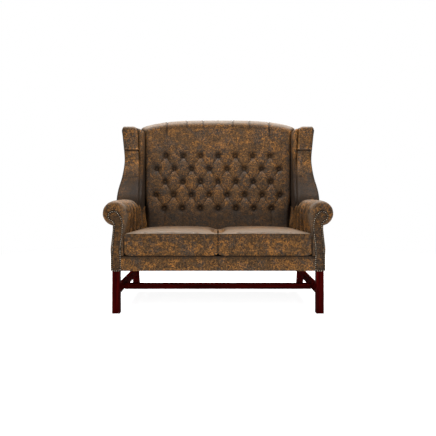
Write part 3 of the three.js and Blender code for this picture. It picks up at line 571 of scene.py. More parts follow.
def made_finishes() -> dict[str, bpy.types.Material]:
    """Makes the settee's materials, each once, and returns them by name, without the number of a second one."""
    # Painted light: the stretchers' mahogany is painted brighter than the legs' to make up for the shade under the
    # seat.
    lightened_stretcher_colours = (0.032, 0.0030, 0.0022), (0.112, 0.0052, 0.0038)
    steel_colours = (0.30, 0.30, 0.31), (0.16, 0.16, 0.17)
    foam_colours = (0.78, 0.70, 0.46), (0.66, 0.57, 0.35)
    kinds = (
        Leather(), AgedBronze(), FrameTimber(),
        PlainFinish("spring_steel", *steel_colours, 180.0, roughness=0.38, metallic=1.0),
        PlainFinish("foam", *foam_colours, 300.0, roughness=0.95),
        Weave("cloth", (0.012, 0.011, 0.010), (0.045, 0.041, 0.038)),
        Weave("webbing", (0.20, 0.14, 0.08), (0.42, 0.32, 0.20), 500.0),
        Mahogany(Grain.UPWARD),
        *(Mahogany(grain, *lightened_stretcher_colours, gloss=0.003) for grain in (Grain.ACROSS, Grain.BACKWARD)),
    )
    materials = [kind.material() for kind in kinds]
    return {material.name.partition(".")[0]: material for material in materials}


def dress(piece: bpy.types.Object, material: bpy.types.Material) -> None:
    """Gives a piece one material."""
    if piece.data.materials:
        for index in range(len(piece.data.materials)):
            piece.data.materials[index] = material
    else:
        piece.data.materials.append(material)


@dataclass(frozen=True)
class SetteeLines:
    """The lines that several pieces share."""

    front: float = -0.4065
    rearmost: float = 0.8165
    skirt: float = 0.246
    crest_height: float = 1.198
    crest_drop: float = 0.056
    crest_half: float = 0.552
    crest_power: float = 3.6
    outside_rake: float = 0.0715
    outside_thickness: float = 0.004
    seat_level: float = 0.332
    plane_foot: float = 0.4506
    back_slope: float = 0.3
    pad_crown: float = 0.032
    arm_top: float = 0.6475
    roll_radius: float = 0.0705
    roll_inner: float = 0.519
    roll_inner_rear: float = 0.488
    arm_face_rear: float = 0.469
    roll_outer: float = 0.6695
    roll_outer_rear: float = 0.646
    arm_depth: float = 0.480
    arm_face_inner: float = 0.541
    wing_setback: float = 0.318
    wing_top: float = 1.139
    wing_top_setback: float = 0.520
    wing_outer: float = 0.6485
    wing_waist: float = 0.026
    pad_half_low: float = 0.4687
    pad_half_arm: float = 0.490
    pad_half_top: float = 0.513
    pad_widening: float = 0.17
    wing_front_shares: tuple = ((0.0, 0.0), (0.22, 0.41), (0.51, 0.75), (0.82, 0.93), (1.0, 1.0))
    wing_waist_shares: tuple = (
        (0.0, 0.0), (0.14, 0.08), (0.28, 0.68), (0.44, 1.0), (0.55, 1.0), (0.7, 0.6), (0.85, 0.2), (1.0, -0.16),
    )

    @property
    def roll_middle(self) -> float:
        """Returns the height of the middle of the arm's roll."""
        return self.arm_top - self.roll_radius

    def pad_plane(self, z: Array) -> Array:
        """Returns the setback of the plane of the back's buttons at a height."""
        return self.plane_foot + self.back_slope * (z - self.seat_level)

    def outside(self, z: Array) -> Array:
        """Returns the setback of the outside back at a height."""
        share = (z - self.skirt) / (self.crest_height - self.skirt)
        return mix(self.rearmost - self.outside_rake, self.rearmost, share)

    def inner_rear(self, z: Array) -> Array:
        """Returns the place of what the outside back covers, along Y, at a height."""
        return self.front + (self.outside(z) - self.outside_thickness - CLEARANCE)

    def crest(self, x: Array) -> Array:
        """Returns the height of the crest at a distance from the middle."""
        return self.crest_height - self.crest_drop * (np.abs(x) / self.crest_half) ** self.crest_power

    def roll(self, setback: Array) -> tuple[Array, Array]:
        """Returns the inner and outer extremes of the arm's roll at a setback."""
        inner = mix(self.roll_inner, self.roll_inner_rear, setback / self.arm_depth)
        outer = mix(self.roll_outer, self.roll_outer_rear, setback / self.wing_setback)
        return inner, outer

    def arm_face(self, setback: Array) -> Array:
        """Returns the place of the arm's inner face at a setback."""
        return mix(self.arm_face_inner, self.arm_face_rear, setback / self.arm_depth)

    def wing_share(self, z: Array) -> Array:
        """Returns the share of the way from the arm's top to the wing's."""
        return (z - self.arm_top) / (self.wing_top - self.arm_top)

    def _smooth(self, shares: tuple, place: Array) -> Array:
        """Reads a table of shares as a smooth curve."""
        keys, values = np.array(shares).T
        spread = np.linspace(-0.06, 0.06, 7)
        return np.mean([np.interp(np.asarray(place) + shift, keys, values) for shift in spread], axis=0)

    def wing_front(self, z: Array) -> Array:
        """Returns the setback of the wing's front at a height."""
        return mix(self.wing_setback, self.wing_top_setback, self._smooth(self.wing_front_shares, self.wing_share(z)))

    def wing_outside(self, z: Array) -> Array:
        """Returns the place of the wing's outer side at a height."""
        return self.wing_outer - self.wing_waist * self._smooth(self.wing_waist_shares, self.wing_share(z))

    def pad_half(self, z: Array) -> Array:
        """Returns half the width of the buttoned pad at a height."""
        wide = mix(self.pad_half_arm, self.pad_half_top, self.wing_share(z))
        return mix(self.pad_half_low, wide, step(z, self.arm_top - 0.14, self.pad_widening))


@dataclass
class Part:
    """Pieces that are built together and put in their places in the model."""

    finishes: dict[str, bpy.types.Material]
    lines: SetteeLines

    def settle(
        self, piece: bpy.types.Object, node: str, slot: str = "leather", fill: float | None = None,
        body: str = "frame",
    ) -> None:
        """Finishes a piece and puts it in its place.

        Args:
            piece: The piece.
            node: The CAD node that it replaces.
            slot: The material slot of its finish.
            fill: How full it is stuffed, if it is a padded piece; not used.
            body: The body that it rides on.
        """
        dress(piece, self.finishes[slot])
        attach(piece, body)
        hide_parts(node)
        log.info("%s: %d points on %s", piece.name, len(piece.data.vertices), body)

    def settle_pair(
        self, piece: bpy.types.Object, node: str, slot: str = "leather", fill: float | None = None,
        body: str | None = None,
    ) -> None:
        """Puts a right piece in its place, and its mirror image on the left.

        Args:
            piece: The right piece.
            node: The CAD nodes that they replace, named without their side.
            slot: The material slot of their finish.
            fill: How full they are stuffed, if they are padded pieces.
            body: The moving bodies that they ride on, named without their side.
        """
        for side in (Side.RIGHT, Side.LEFT):
            name = side.name_of(piece.name.removesuffix(Side.RIGHT.name_of("")))
            shown = piece if side is Side.RIGHT else Meshwork.mirrored(name, piece)
            self.settle(shown, side.name_of(node), slot, fill, side.name_of(body) if body else "frame")


@dataclass
class FirmPieces(Part):
    """The CAD nodes that are shown as they are: show wood, the hidden frame and the arms' outside panels."""

    edge: float = 0.0012
    weld: float = 0.00001
    sharp_angle: float = math.radians(40.0)
    finish_names: dict[str, str] = field(default_factory=lambda: {
        "front_leg": "mahogany_upward", "rear_leg": "mahogany_upward", "side_stretcher": "mahogany_backward",
        "cross_stretcher": "mahogany_across", "seat_spring": "spring_steel", "back_strap": "webbing",
        "outside_arm_panel": "leather",
    })
    timber: tuple[str, ...] = (
        "front_seat_rail", "rear_seat_rail", "side_seat_rail", "corner_block", "arm_frame", "back_post", "crest_rail",
        "lower_back_rail", "wing_frame",
    )

    def build(self) -> None:
        """Gives the nodes their finishes, and the show wood soft edges."""
        finish_names = self.finish_names | dict.fromkeys(self.timber, "frame_timber")
        for name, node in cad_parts.items():
            for start, finish in finish_names.items():
                if name.startswith(start):
                    dress(node, self.finishes[finish])
                    if finish.startswith("mahogany"):
                        self._soften(node)

    def _soften(self, node: bpy.types.Object) -> None:
        """Rounds the edges of a piece of show wood a little."""
        weld = node.modifiers.new("Weld", "WELD")
        weld.merge_threshold = self.weld
        bevel = node.modifiers.new("Bevel", "BEVEL")
        bevel.width = self.edge
        bevel.segments = 2
        bevel.limit_method = "ANGLE"
        bevel.angle_limit = self.sharp_angle


@dataclass
class SeatCloths(Part):
    """The dust cover under the seat and the padded deck over its springs."""

    rows: int = 24
    dust_cover_thickness: float = 0.0015
    leg_corner: float = 0.046
    deck_thickness: float = 0.0105

    def _panel(self, node: str, thickness: float, corner: float = 0.0) -> bpy.types.Object:
        """Makes a thin panel in a node's box.

        Args:
            node: The node that it replaces.
            thickness: How thick it is.
            corner: The size of the corners left out round the legs.

        Returns:
            The panel.
        """
        low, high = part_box(node)
        back = np.linspace(low.y, high.y, self.rows)
        rings = []
        for x in np.linspace(low.x, high.x, self.rows * 2):
            inset = corner if min(x - low.x, high.x - x) < corner else 0.0
            y = np.clip(back, low.y + inset, high.y - inset)
            rings.append(np.vstack([stacked(x, y, high.z), stacked(x, y, high.z - thickness)[::-1]]))
        return Meshwork.shell(node + "_cloth", np.array(rings))

    def build(self) -> None:
        """Builds both and puts them in place."""
        cover = self._panel("dust_cover", self.dust_cover_thickness, self.leg_corner)
        self.settle(cover, "dust_cover", "cloth")
        self.settle(self._panel("seat_deck", self.deck_thickness), "seat_deck", "cloth", 0.9)


@dataclass
class CoveredButton:
    """A leather-covered button on its twine."""

    radius: float = 0.0125
    dome: float = 0.0065
    tip: float = 0.0002
    turns: int = 20

    def rings(self, stem: float) -> Array:
        """Returns the button's rings, dome towards +Y, with the twine's length behind it."""
        share, rise = np.array([
            (self.tip / self.radius, self.dome), (0.30, self.dome * 0.97), (0.62, self.dome * 0.80),
            (0.86, self.dome * 0.50), (0.98, self.dome * 0.18), (1.0, 0.0), (0.93, -0.0012), (0.5, -0.0020),
            (0.16, -0.0030), (0.16, -stem),
        ]).T[:, :, None]
        angles = np.linspace(0.0, 2.0 * np.pi, self.turns, endpoint=False)
        reach = share * self.radius
        return stacked(reach * np.cos(angles), rise, reach * np.sin(angles))

    def made(self, name: str, foot: Vector, outward: Vector, stem: float) -> bpy.types.Object:
        """Makes one button.

        Args:
            name: Its name.
            foot: The middle of its underside.
            outward: The direction that its dome faces.
            stem: The length of its twine.

        Returns:
            The button.
        """
        turn = Vector((0.0, 1.0, 0.0)).rotation_difference(outward).to_matrix()
        rings = self.rings(stem)
        # Painted shade: over half on the dome, more at its edge, and full under it and on its twine.
        rim = np.full(rings.shape[:2], 0.55)
        rim[3] = 0.8
        rim[4:] = 1.0
        return Meshwork.shell(name, rings @ np.array(turn).T + np.array(foot), rim)


def twine_line(name: str, start: Vector, end: Vector, radius: float = 0.0018) -> bpy.types.Object:
    """Makes the straight twine that ties a row of buttons together."""
    along = (end - start).normalized()
    side = along.cross(Vector((0.0, 0.3, 1.0))).normalized()
    other = along.cross(side)
    angles = np.linspace(0.0, 2.0 * np.pi, 8, endpoint=False)
    ring = radius * (np.outer(np.cos(angles), side) + np.outer(np.sin(angles), other))
    rings = np.array([ring + np.array(start), ring + np.array(end)])
    # The twine takes the full painted shade.
    return Meshwork.shell(name, rings, np.ones(rings.shape[:2]))


@dataclass
class ButtonedBack(Part):
    """The deep-buttoned leather pad of the back, with its buttons."""

    low_row: float = 0.580
    row_pitch: float = 0.08925
    rows: int = 5
    pitch: float = 0.120
    short_row: int = 7
    pillow: float = 0.0045
    crease: float = 0.0042
    crease_width: float = 0.080
    pleat: float = 0.0040
    pleat_width: float = 0.20
    pit_width: float = 0.019
    pit_power: float = 1.7
    # Painted shade: a dark halo just above each button, a darkening towards the bottom of the pad and over all of it,
    # and more beside the wings.
    shade_halo_width: float = 0.021
    shade_halo_lift: float = 0.006
    overall_shade: float = 0.10
    low_shades: tuple = ((0.640, 0.110, 0.50), (0.980, 0.250, 0.14))
    wing_shade: float = 0.55
    wing_shade_reach: float = 0.028
    wing_shade_top: float = 1.09
    wing_shade_fade: float = 0.14
    crest_ridge: float = 0.0042
    ridge_width: float = 0.0042
    groove_offset: float = 0.0080
    groove_width: float = 0.0046
    crest_pleats: tuple = ((0.0, 0.050), (0.112, 0.070), (0.226, 0.060), (0.366, 0.160))
    crest_round: float = 0.060
    crest_fall: float = 0.006
    crest_drop: float = 0.001
    ridge_rise: float = 0.7
    coarse_roughness: float = 0.0012
    fine_roughness: float = 0.0005
    # Where the painted sheen lies below the crest, and how it fades.
    sheen_depth: float = 0.046
    sheen_fade: float = 0.032
    crest_cover: float = 0.042
    held_half: float = 0.430
    ear: float = 0.034
    ear_droop: float = 0.005
    side_round: float = 0.018
    thickness: float = 0.025
    seat: float = 0.0085
    stations: int = 345
    steps: int = 260
    turn_steps: int = 13
    flat_steps: int = 15

    def row_height(self, row: int) -> float:
        """Returns the height of a row, counted from the top."""
        return self.low_row + (self.rows - 1 - row) * self.row_pitch

    def row_places(self, row: int) -> list[float]:
        """Returns the places across of the buttons of a row."""
        count = self.short_row + row % 2
        return [(place - (count - 1) / 2.0) * self.pitch for place in range(count)]

    def puff(self, x: Array, z: Array) -> tuple[Array, Array]:
        """Works out the tufted leather.

        Args:
            x: Places across.
            z: Heights.

        Returns:
            How far the leather stands out from the buttons' plane, and how much painted shade it gets, from its
            creases, pits and pleats and darker towards the bottom and beside the wings.
        """
        lines = self.lines
        across = x / self.pitch
        up = (z - self.low_row) / self.row_pitch
        row = np.clip(up, 0.0, self.rows - 1.0)
        above, below = np.clip(up - row, 0.0, None), np.clip(row - up, 0.0, None)
        under = np.ceil(row) - row
        first, second = wave(across + row / 2.0), wave(across - row / 2.0)
        soft = self.pillow * (1.0 - (first * second) ** 0.55)
        soft = soft * (1.0 - 0.7 * step(np.abs(x), 3.4 * self.pitch, 0.03))
        soft = soft * (1.0 - ease(above / 0.55)) * (1.0 - 0.75 * ease(below))
        tight = (1.0 - step(under, 0.25, 0.50)) * (above <= 0.0) * (below <= 0.0) * (under > 0.0)
        tight = tight * (1.0 - step(np.abs(x), 3.5 * self.pitch, 0.012))
        crease = np.exp(-np.minimum(first, second) / self.crease_width) * tight
        drop = bell(wave(across), self.pleat_width) * (below > 0.0) * (1.0 - 0.6 * ease(below / 1.5))
        ridge, groove = self._pleats(x, lines.crest(x) - z)
        pits = self._pits(x, z, self.pit_width)
        out = lines.pad_crown - soft - self.crease * crease - self.pleat * drop + self.crest_ridge * (ridge - groove)
        out = out - (lines.pad_crown - self.pillow - self.seat) * pits
        # Painted shade above each button, under the pillow that overhangs it.
        shade_halo = self._pits(x, z - self.shade_halo_lift, self.shade_halo_width) * (above + below < 0.5)
        beside_wing = np.exp(-np.clip(lines.pad_half(z) - np.abs(x), 0.0, None) / self.wing_shade_reach)
        shaded = sum(share * step(top - z, 0.0, fade) for top, fade, share in self.low_shades) + self.overall_shade
        shaded = shaded + self.wing_shade * beside_wing * step(self.wing_shade_top - z, 0.0, self.wing_shade_fade)
        # Painted shade in the creases, pleats, grooves and button pits, added to the painted shade by height.
        fold = np.max([0.85 * crease, 0.15 * drop, 0.9 * groove, pits, 0.70 * shade_halo], axis=0)
        return out, np.clip(fold + shaded, 0.0, 1.0)

    def _pleats(self, x: Array, below: Array) -> tuple[Array, Array]:
        """Returns how near each place is to a pleat of the crest, and to the groove beside it."""
        ridge, groove = np.zeros_like(x + below), np.zeros_like(x + below)
        for place, reach in self.crest_pleats:
            held = 1.0 - step(below, reach * 0.4, reach * 0.6)
            apart = np.abs(x) - place
            ridge = np.maximum(ridge, bell(apart, self.ridge_width) * held)
            groove = np.maximum(groove, bell(apart + self.groove_offset, self.groove_width) * held)
        return ridge, groove

    def _pits(self, x: Array, z: Array, width: float) -> Array:
        """Returns how near each place is to a button, from 0 to 1."""
        near = np.zeros_like(x)
        for row in range(self.rows):
            for place in self.row_places(row):
                reach = np.hypot(x - place, z - self.row_height(row))
                near = np.maximum(near, np.exp(-((reach / width) ** self.pit_power)))
        return near

    def _face(self, x0: Array, top: Array) -> tuple[Array, Array]:
        """Works out the pad's face.

        Args:
            x0: The stations across, as a column.
            top: The height at which the face turns over at the crest, at each station.

        Returns:
            The points, and how much painted shade each gets.
        """
        lines = self.lines
        z = lines.seat_level + np.linspace(0.0, 1.0, self.steps) * (top - lines.seat_level)
        stretch = (lines.pad_half(z) - self.held_half) / (lines.pad_half_top - self.held_half)
        outer = np.sign(x0) * (self.held_half + (np.abs(x0) - self.held_half) * stretch)
        x = np.where(np.abs(x0) > self.held_half, outer, x0)
        out, fold = self.puff(x, z)
        pits = self._pits(x, z, self.pit_width)
        side = np.clip(1.0 - (lines.pad_half(z) - np.abs(x)) / self.side_round, 0.0, 1.0)
        back = self.side_round * (1.0 - np.sqrt(np.clip(1.0 - side**2, 0.0, 1.0)))
        grid = stacked(x, 0.0, z)
        rough = self.coarse_roughness * unevenness(grid, 0.045, 1.0)
        rough = rough + self.fine_roughness * unevenness(grid, 0.014, 2.0)
        y = lines.front + lines.pad_plane(z) - out + back + rough * (1.0 - pits)
        # Painted shade: full in the button pits and up to half at the pad's rounded sides.
        return stacked(x, y, z), np.max([fold, pits, side**3 * 0.5], axis=0)

    def _pad(self) -> bpy.types.Object:
        """Builds the pad as one closed skin, station by station across the back."""
        lines = self.lines
        x0 = np.linspace(-lines.pad_half_top, lines.pad_half_top, self.stations)[:, None]
        turn = np.linspace(0.0, np.pi / 2.0, self.turn_steps + 1)[1:]
        flat = np.linspace(0.0, 1.0, self.flat_steps + 1)[1:]
        foot = lines.crest(x0) - self.crest_round
        face, fold = self._face(x0, foot)
        x, y = face[:, -1:, 0], face[:, -1:, 1]
        reach = self.ear * np.sign(x0) * step(np.abs(x0), self.held_half, lines.pad_half_top - self.held_half) ** 2
        ridge, groove = self._pleats(x0, np.zeros_like(x0))
        crest = self.ridge_rise * self.crest_ridge * (ridge - groove) - self.crest_drop + lines.crest(x0 + reach)
        droop = self.ear_droop * ease(1.0 - (lines.pad_half_top - np.abs(x0)) / self.side_round)
        wide = x + reach * np.sin(turn) ** 2
        over = stacked(wide, y + self.crest_round * (1.0 - np.cos(turn)), foot + (crest - droop - foot) * np.sin(turn))
        end = over[:, -1:]
        rear_z = lines.crest(end[..., 0]) - self.crest_fall
        top = stacked(
            end[..., 0], mix(end[..., 1], lines.inner_rear(rear_z), flat),
            end[..., 2] + (rear_z - 0.004 - end[..., 2]) * flat**3,
        )
        core = lines.crest(x0) - self.crest_cover
        plane = lines.front + self.thickness
        inner = np.concatenate([
            stacked(x, lines.inner_rear(core), core), stacked(x, plane + lines.pad_plane(core), core),
            stacked(face[:, :1, 0], plane + lines.pad_plane(lines.seat_level), lines.seat_level),
        ], axis=1)
        rings = np.concatenate([face, over, top, inner], axis=1)
        # Painted shade in the grooves beside the crest's pleats, and full shade on the hidden inside.
        grooves = np.repeat(0.9 * groove, self.turn_steps + self.flat_steps, axis=1)
        pad = Meshwork.shell("back_cover", rings, np.concatenate([fold, grooves, np.ones((self.stations, 3))], axis=1))
        placed = Meshwork.points(pad)
        # Painted sheen: a pale grey over the top of the crest, where the lamps above shine.
        Meshwork.paint(pad, "rub", step(placed[:, 2] - lines.crest(placed[:, 0]), -self.sheen_depth, self.sheen_fade))
        return pad

    def _button_row(self, row: int) -> bpy.types.Object:
        """Builds the buttons of one row, tied together behind the pad."""
        height = self.row_height(row)
        outward = Vector((0.0, -1.0, self.lines.back_slope)).normalized()
        middle = Vector((0.0, self.lines.front + float(self.lines.pad_plane(height)), height))
        stem = self.seat + self.thickness + 0.0035
        parts = []
        for index, place in enumerate(self.row_places(row)):
            foot = middle + Vector((place, 0.0, 0.0)) + outward * self.seat
            parts.append(CoveredButton().made(f"button_{row}_{index}", foot, outward, stem))
        behind = middle - outward * (stem - self.seat)
        reach = Vector((self.row_places(row)[-1], 0.0, 0.0))
        parts.append(twine_line(f"twine_{row}", behind - reach, behind + reach))
        return Meshwork.joined(f"buttons_row_{row + 1}", parts)

    def build(self) -> None:
        """Builds the pad and its rows of buttons and puts them in place."""
        self.settle(self._pad(), "back_pad", fill=0.8)
        for row in range(self.rows):
            self.settle(self._button_row(row), f"back_buttons_row_{row + 1}")


@dataclass
class NailTrim:
    """Domed nails in a row round a front panel."""

    outline: Array
    front: float
    pitch: float = 0.0118
    radius: float = 0.0051
    rise: float = 0.0034
    corners: int = 10
    profile: tuple = ((1.0, 0.0, 1.0), (0.95, 0.35, 1.0), (0.56, 0.86, 1.0), (0.22, 0.985, 0.0))

    def _places(self) -> Array:
        """Returns the nails' places round the outline."""
        closed = np.vstack([self.outline, self.outline[:1]])
        length = run_of(closed)[-1]
        count = round(length / self.pitch)
        return resampled(closed, np.arange(count) * length / count)

    def made(self, name: str) -> bpy.types.Object:
        """Makes every nail of one panel as one object, each dome with its sunk rim."""
        turns = np.linspace(0.0, 2.0 * np.pi, self.corners, endpoint=False)
        vertices, faces, painted_shades_and_patina = [], [], []
        for x, z in self._places():
            base = len(vertices)
            for reach, rise, fold in self.profile:
                for angle in turns:
                    across, up = reach * self.radius * math.cos(angle), reach * self.radius * math.sin(angle)
                    vertices.append((x + across, self.front - rise * self.rise, z + up))
                    painted_shades_and_patina.append(fold)
            vertices += [(x, self.front - self.rise, z), (x, self.front, z)]
            painted_shades_and_patina += [0.0, 1.0]
            last = base + (len(self.profile) - 1) * self.corners
            crown, foot = last + self.corners, last + self.corners + 1
            for index in range(self.corners):
                after = (index + 1) % self.corners
                faces.append((base + after, base + index, foot))
                for low in range(base, last, self.corners):
                    high = low + self.corners
                    faces.append((low + index, low + after, high + after, high + index))
                faces.append((last + index, last + after, crown))
        return Meshwork.piece(name, np.array(vertices), faces, np.array(painted_shades_and_patina))


@dataclass
class RolledArm(Part):
    """A rolled arm: fluted and buttoned leather over the roll, and its nailed front panel."""

    scroll_outer: float = 0.630
    scroll_width: float = 0.081
    scroll_top: float = 0.588
    scroll_height: float = 0.080
    neck_outer: float = 0.597
    neck_foot: float = 0.482
    body_outer: float = 0.6067
    body_inner: float = 0.5612
    body_outer_top: float = 0.372
    body_inner_top: float = 0.379
    nail_foot: float = 0.250
    nail_corner: float = 0.005
    nail_edge: float = 0.004
    panel_thickness: float = 0.0077
    panel_profile: tuple = (
        (0.0, 0.0045), (0.0008, 0.0020), (0.0028, 0.0006), (0.0045, 0.0), (0.0075, 0.0003), (0.0105, -0.0012),
        (0.0150, -0.0024), (0.0190, -0.0028),
    )
    edge_round: float = 0.030
    edge_setbacks: tuple = (0.0, 0.0004, 0.0012, 0.0025, 0.0045, 0.007, 0.010, 0.014)
    ring_pitch: float = 0.0026
    around: int = 150
    face_top: float = 0.450
    flute_depth: float = 0.016
    flute_pitch: float = 0.078
    flute_shares: tuple = (0.35, 0.25, 1.25, 1.1, 1.0, 0.9)
    roll_rise: float = 0.0035
    roll_drop: float = 0.0050
    first_button: float = 0.027
    buttons: int = 6
    button_height: float = 0.5863
    button_pull: float = 0.007
    twine_x: float = 0.591
    gather_pitch: float = 0.021
    gather_depth: float = 0.0016
    gather_reach: float = 0.020
    gather_shade: float = 0.22
    pull_length: float = 0.014
    pull_height: float = 0.017
    front_sink: float = 0.0030
    front_swell: float = 0.0040
    roughness: float = 0.0007
    scroll_shares: tuple = (
        (0.57, 0.0), (0.59, 0.15), (0.66, 0.26), (0.78, 0.36), (0.93, 0.46), (1.0, 0.71), (0.84, 0.94), (0.65, 1.0),
        (0.49, 1.0), (0.32, 0.86), (0.2, 0.72), (0.1, 0.55), (0.04, 0.36), (0.0, 0.15),
    )

    def nail_outline(self, spacing: float = 0.002) -> Array:
        """Returns the smooth line of the nails, from the outer neck over the scroll and round the foot."""
        inner = self.scroll_outer - self.scroll_width
        foot = self.scroll_top - self.scroll_height
        low, high = self.nail_foot, self.nail_foot + self.nail_corner
        corners = np.array([
            *((inner + a * self.scroll_width, foot + u * self.scroll_height) for a, u in self.scroll_shares),
            (inner, self.neck_foot), (self.body_inner, self.body_inner_top), (self.body_inner, high),
            (self.body_inner + self.nail_corner, low), (self.body_outer - self.nail_corner, low),
            (self.body_outer, high), (self.body_outer, self.body_outer_top), (self.neck_outer, self.neck_foot),
        ])
        curve = []
        for index in range(len(corners)):
            before, start, end, after = (corners[(index + next_by) % len(corners)] for next_by in (-1, 0, 1, 2))
            knots = [max(np.linalg.norm(b - a), 1e-6) ** 0.5 for a, b in ((before, start), (start, end), (end, after))]
            slope_in = (start - before) / knots[0] - (end - before) / (knots[0] + knots[1]) + (end - start) / knots[1]
            slope_out = (end - start) / knots[1] - (after - start) / (knots[1] + knots[2]) + (after - end) / knots[2]
            count = max(int(np.linalg.norm(end - start) / spacing), 2)
            for t in np.linspace(0.0, 1.0, count, endpoint=False):
                curve.append(
                    (2 * t**3 - 3 * t**2 + 1) * start + (t**3 - 2 * t**2 + t) * slope_in * knots[1]
                    + (-2 * t**3 + 3 * t**2) * end + (t**3 - t**2) * slope_out * knots[1]
                )
        return np.array(curve)

    @staticmethod
    def grown(outline: Array, distance: float) -> Array:
        """Moves a closed outline outwards by a distance."""
        along = np.roll(outline, -1, axis=0) - np.roll(outline, 1, axis=0)
        along /= np.linalg.norm(along, axis=1)[:, None]
        sideways = stacked(along[:, 1], -along[:, 0])
        area = np.sum(outline[:, 0] * np.roll(outline[:, 1], -1) - np.roll(outline[:, 0], -1) * outline[:, 1])
        return outline + sideways * distance * np.sign(area)

    def _flute(self, setback: float) -> float:
        """Returns how deep in a flute's seam a setback is, from 0 on a crown to 1."""
        turns = (setback - self.first_button) / self.flute_pitch
        if turns >= self.buttons - 0.5:
            return 0.0
        nearest = min(max(round(turns), 0), self.buttons - 1)
        return float(1.0 - wave(turns) ** 0.65) * self.flute_shares[nearest]

    def _skin(self, setback: float, inset: float) -> tuple[Array, Array]:
        """Works out the arm's outline from its foot inside, over the roll, to under its outer side.

        Args:
            setback: The place along the arm.
            inset: How far the outline is drawn in at the front edge.

        Returns:
            The points, as pairs across and up, and how much painted shade each gets.
        """
        lines = self.lines
        inner, outer = (float(value) for value in lines.roll(setback))
        face = float(lines.arm_face(setback))
        centre, half, middle = (inner + outer) / 2.0, (outer - inner) / 2.0, lines.roll_middle
        flute = self._flute(setback)
        face_count = self.around * 2 // 5
        angles = np.linspace(math.pi, math.radians(-80.0), self.around - face_count)
        heights = np.linspace(lines.seat_level, middle, face_count, endpoint=False)
        angular = 0.2 + 0.8 * (1.0 - np.cos(angles)) / 2.0
        half_pitch = self.flute_pitch / 2.0
        apart = (setback - self.first_button + half_pitch) % self.flute_pitch - half_pitch
        last = self.first_button + (self.buttons - 0.5) * self.flute_pitch
        pull = bell(apart, self.pull_length) if 0.010 < setback < last else 0.0
        rise = np.concatenate([heights, middle + lines.roll_radius * np.sin(angles)])
        near = bell(rise - self.button_height, self.pull_height) * pull
        near[face_count:] *= np.cos(angles) < 0.0
        depth = inset + self.flute_depth * flute * angular + self.button_pull * near[face_count:]
        slack = np.where(angles > 0.0, self.roll_rise * (1.0 - step(setback, 0.20, 0.10)), self.roll_drop)
        roll = stacked(
            centre + np.cos(angles) * (half - depth), middle + np.sin(angles) * (lines.roll_radius + slack - depth),
        )
        share = step(heights, self.face_top, middle - self.face_top)
        sunk = inset * (0.4 + 0.6 * share) + self.flute_depth * flute + self.button_pull * near[:face_count]
        side = stacked(face + (inner - face) * share + sunk, heights)
        # Painted shade in the flutes' seams, and at the buttons' pulls.
        painted_shades_and_patina = np.concatenate([np.full(face_count, flute**1.3), np.clip(flute**1.3 * angular, 0.0, 1.0)])
        return np.vstack([side, roll]), np.clip(painted_shades_and_patina + near * 0.7, 0.0, 1.0)

    def _core(self) -> Array:
        """Returns the front panel's edge, from its foot inside, over the scroll, to the outer neck."""
        outline = self.grown(self.nail_outline(), self.nail_edge + CLEARANCE)
        x, z = outline.T
        start = int(np.argmin(np.hypot(x - self.body_inner, z - self.lines.seat_level)))
        end = int(np.argmin(np.hypot(x - self.neck_outer - 0.004, z - self.neck_foot - 0.03)))
        line = np.roll(outline, -end, axis=0)[:(start - end) % len(outline) + 1][::-1]
        run = run_of(line)
        is_outer = line[:, 0] > 0.57
        split = run[int(np.argmin(np.abs(line[:, 1] - self.neck_foot) + is_outer * 9.0))]
        face_count = self.around * 2 // 5
        return resampled(line, np.concatenate([
            np.linspace(0.0, split, face_count, endpoint=False), np.linspace(split, run[-1], self.around - face_count),
        ]))

    def _pad(self) -> bpy.types.Object:
        """Builds the arm's pad: a gathered front, the fluted roll and the inner face."""
        lines = self.lines
        core = self._core()
        rim, _ = self._skin(0.0, self.edge_round)
        run = run_of(rim)
        gather = 0.5 + 0.5 * np.cos(2.0 * np.pi * run / self.gather_pitch + 1.3 * np.sin(run / 0.017))
        # Hidden faces behind the skin take the full painted shade.
        hidden = np.ones(self.around)
        rings, painted_shades_and_patina = [], []
        for share in np.linspace(0.0, 0.96, 10):
            line = core + (rim - core) * share
            swell = self.front_swell * math.sin(math.pi * share) * (1.0 - 0.3 * gather)
            y = lines.front + self.front_sink * (1.0 - share) ** 3 - swell
            behind = stacked(core[:, 0], lines.front + 0.004, core[:, 1])
            rings.append(np.vstack([stacked(line[:, 0], y, line[:, 1]), behind[::-1]]))
            shade = 0.9 * (1.0 - share) ** 4 + 0.03 + self.gather_shade * gather
            painted_shades_and_patina.append(np.concatenate([np.clip(shade, 0.0, 1.0), hidden]))
        middle = np.array([(rim[:, 0].min() + rim[:, 0].max()) / 2.0, lines.roll_middle])
        setbacks = np.concatenate([self.edge_setbacks, np.arange(0.018, 0.500, self.ring_pitch)])
        for setback in setbacks:
            share = 1.0 - min(setback / self.edge_round, 1.0)
            skin, depth = self._skin(float(setback), self.edge_round * (1.0 - math.sqrt(1.0 - share * share)))
            gathered = gather * math.exp(-setback / self.gather_reach)
            outward = skin - middle
            outward /= np.linalg.norm(outward, axis=1)[:, None]
            skin = skin - outward * (self.gather_depth * gathered)[:, None]
            is_rear = setback == setbacks[-1]
            y = lines.inner_rear(skin[:, 1]) if is_rear else lines.front + setback
            behind = stacked(core[:, 0], y, core[:, 1])
            rings.append(np.vstack([stacked(skin[:, 0], y, skin[:, 1]), behind[::-1]]))
            # Painted shade in the flutes, at the buttons and in the gathers.
            painted_shades_and_patina.append(np.concatenate([np.clip(depth + 0.04 + self.gather_shade * gathered, 0.0, 1.0), hidden]))
        points = np.array(rings)
        skin = points[:, :self.around]
        bump = self.roughness * unevenness(skin, 0.030, 4.0)
        skin[:, :, 0] -= bump * (skin[:, :, 2] > 0.40)
        skin[:, :, 2] += bump * (skin[:, :, 2] > 0.60)
        cover = Meshwork.shell("arm_cover_right", points, np.array(painted_shades_and_patina))
        x, y, z = Meshwork.points(cover).T
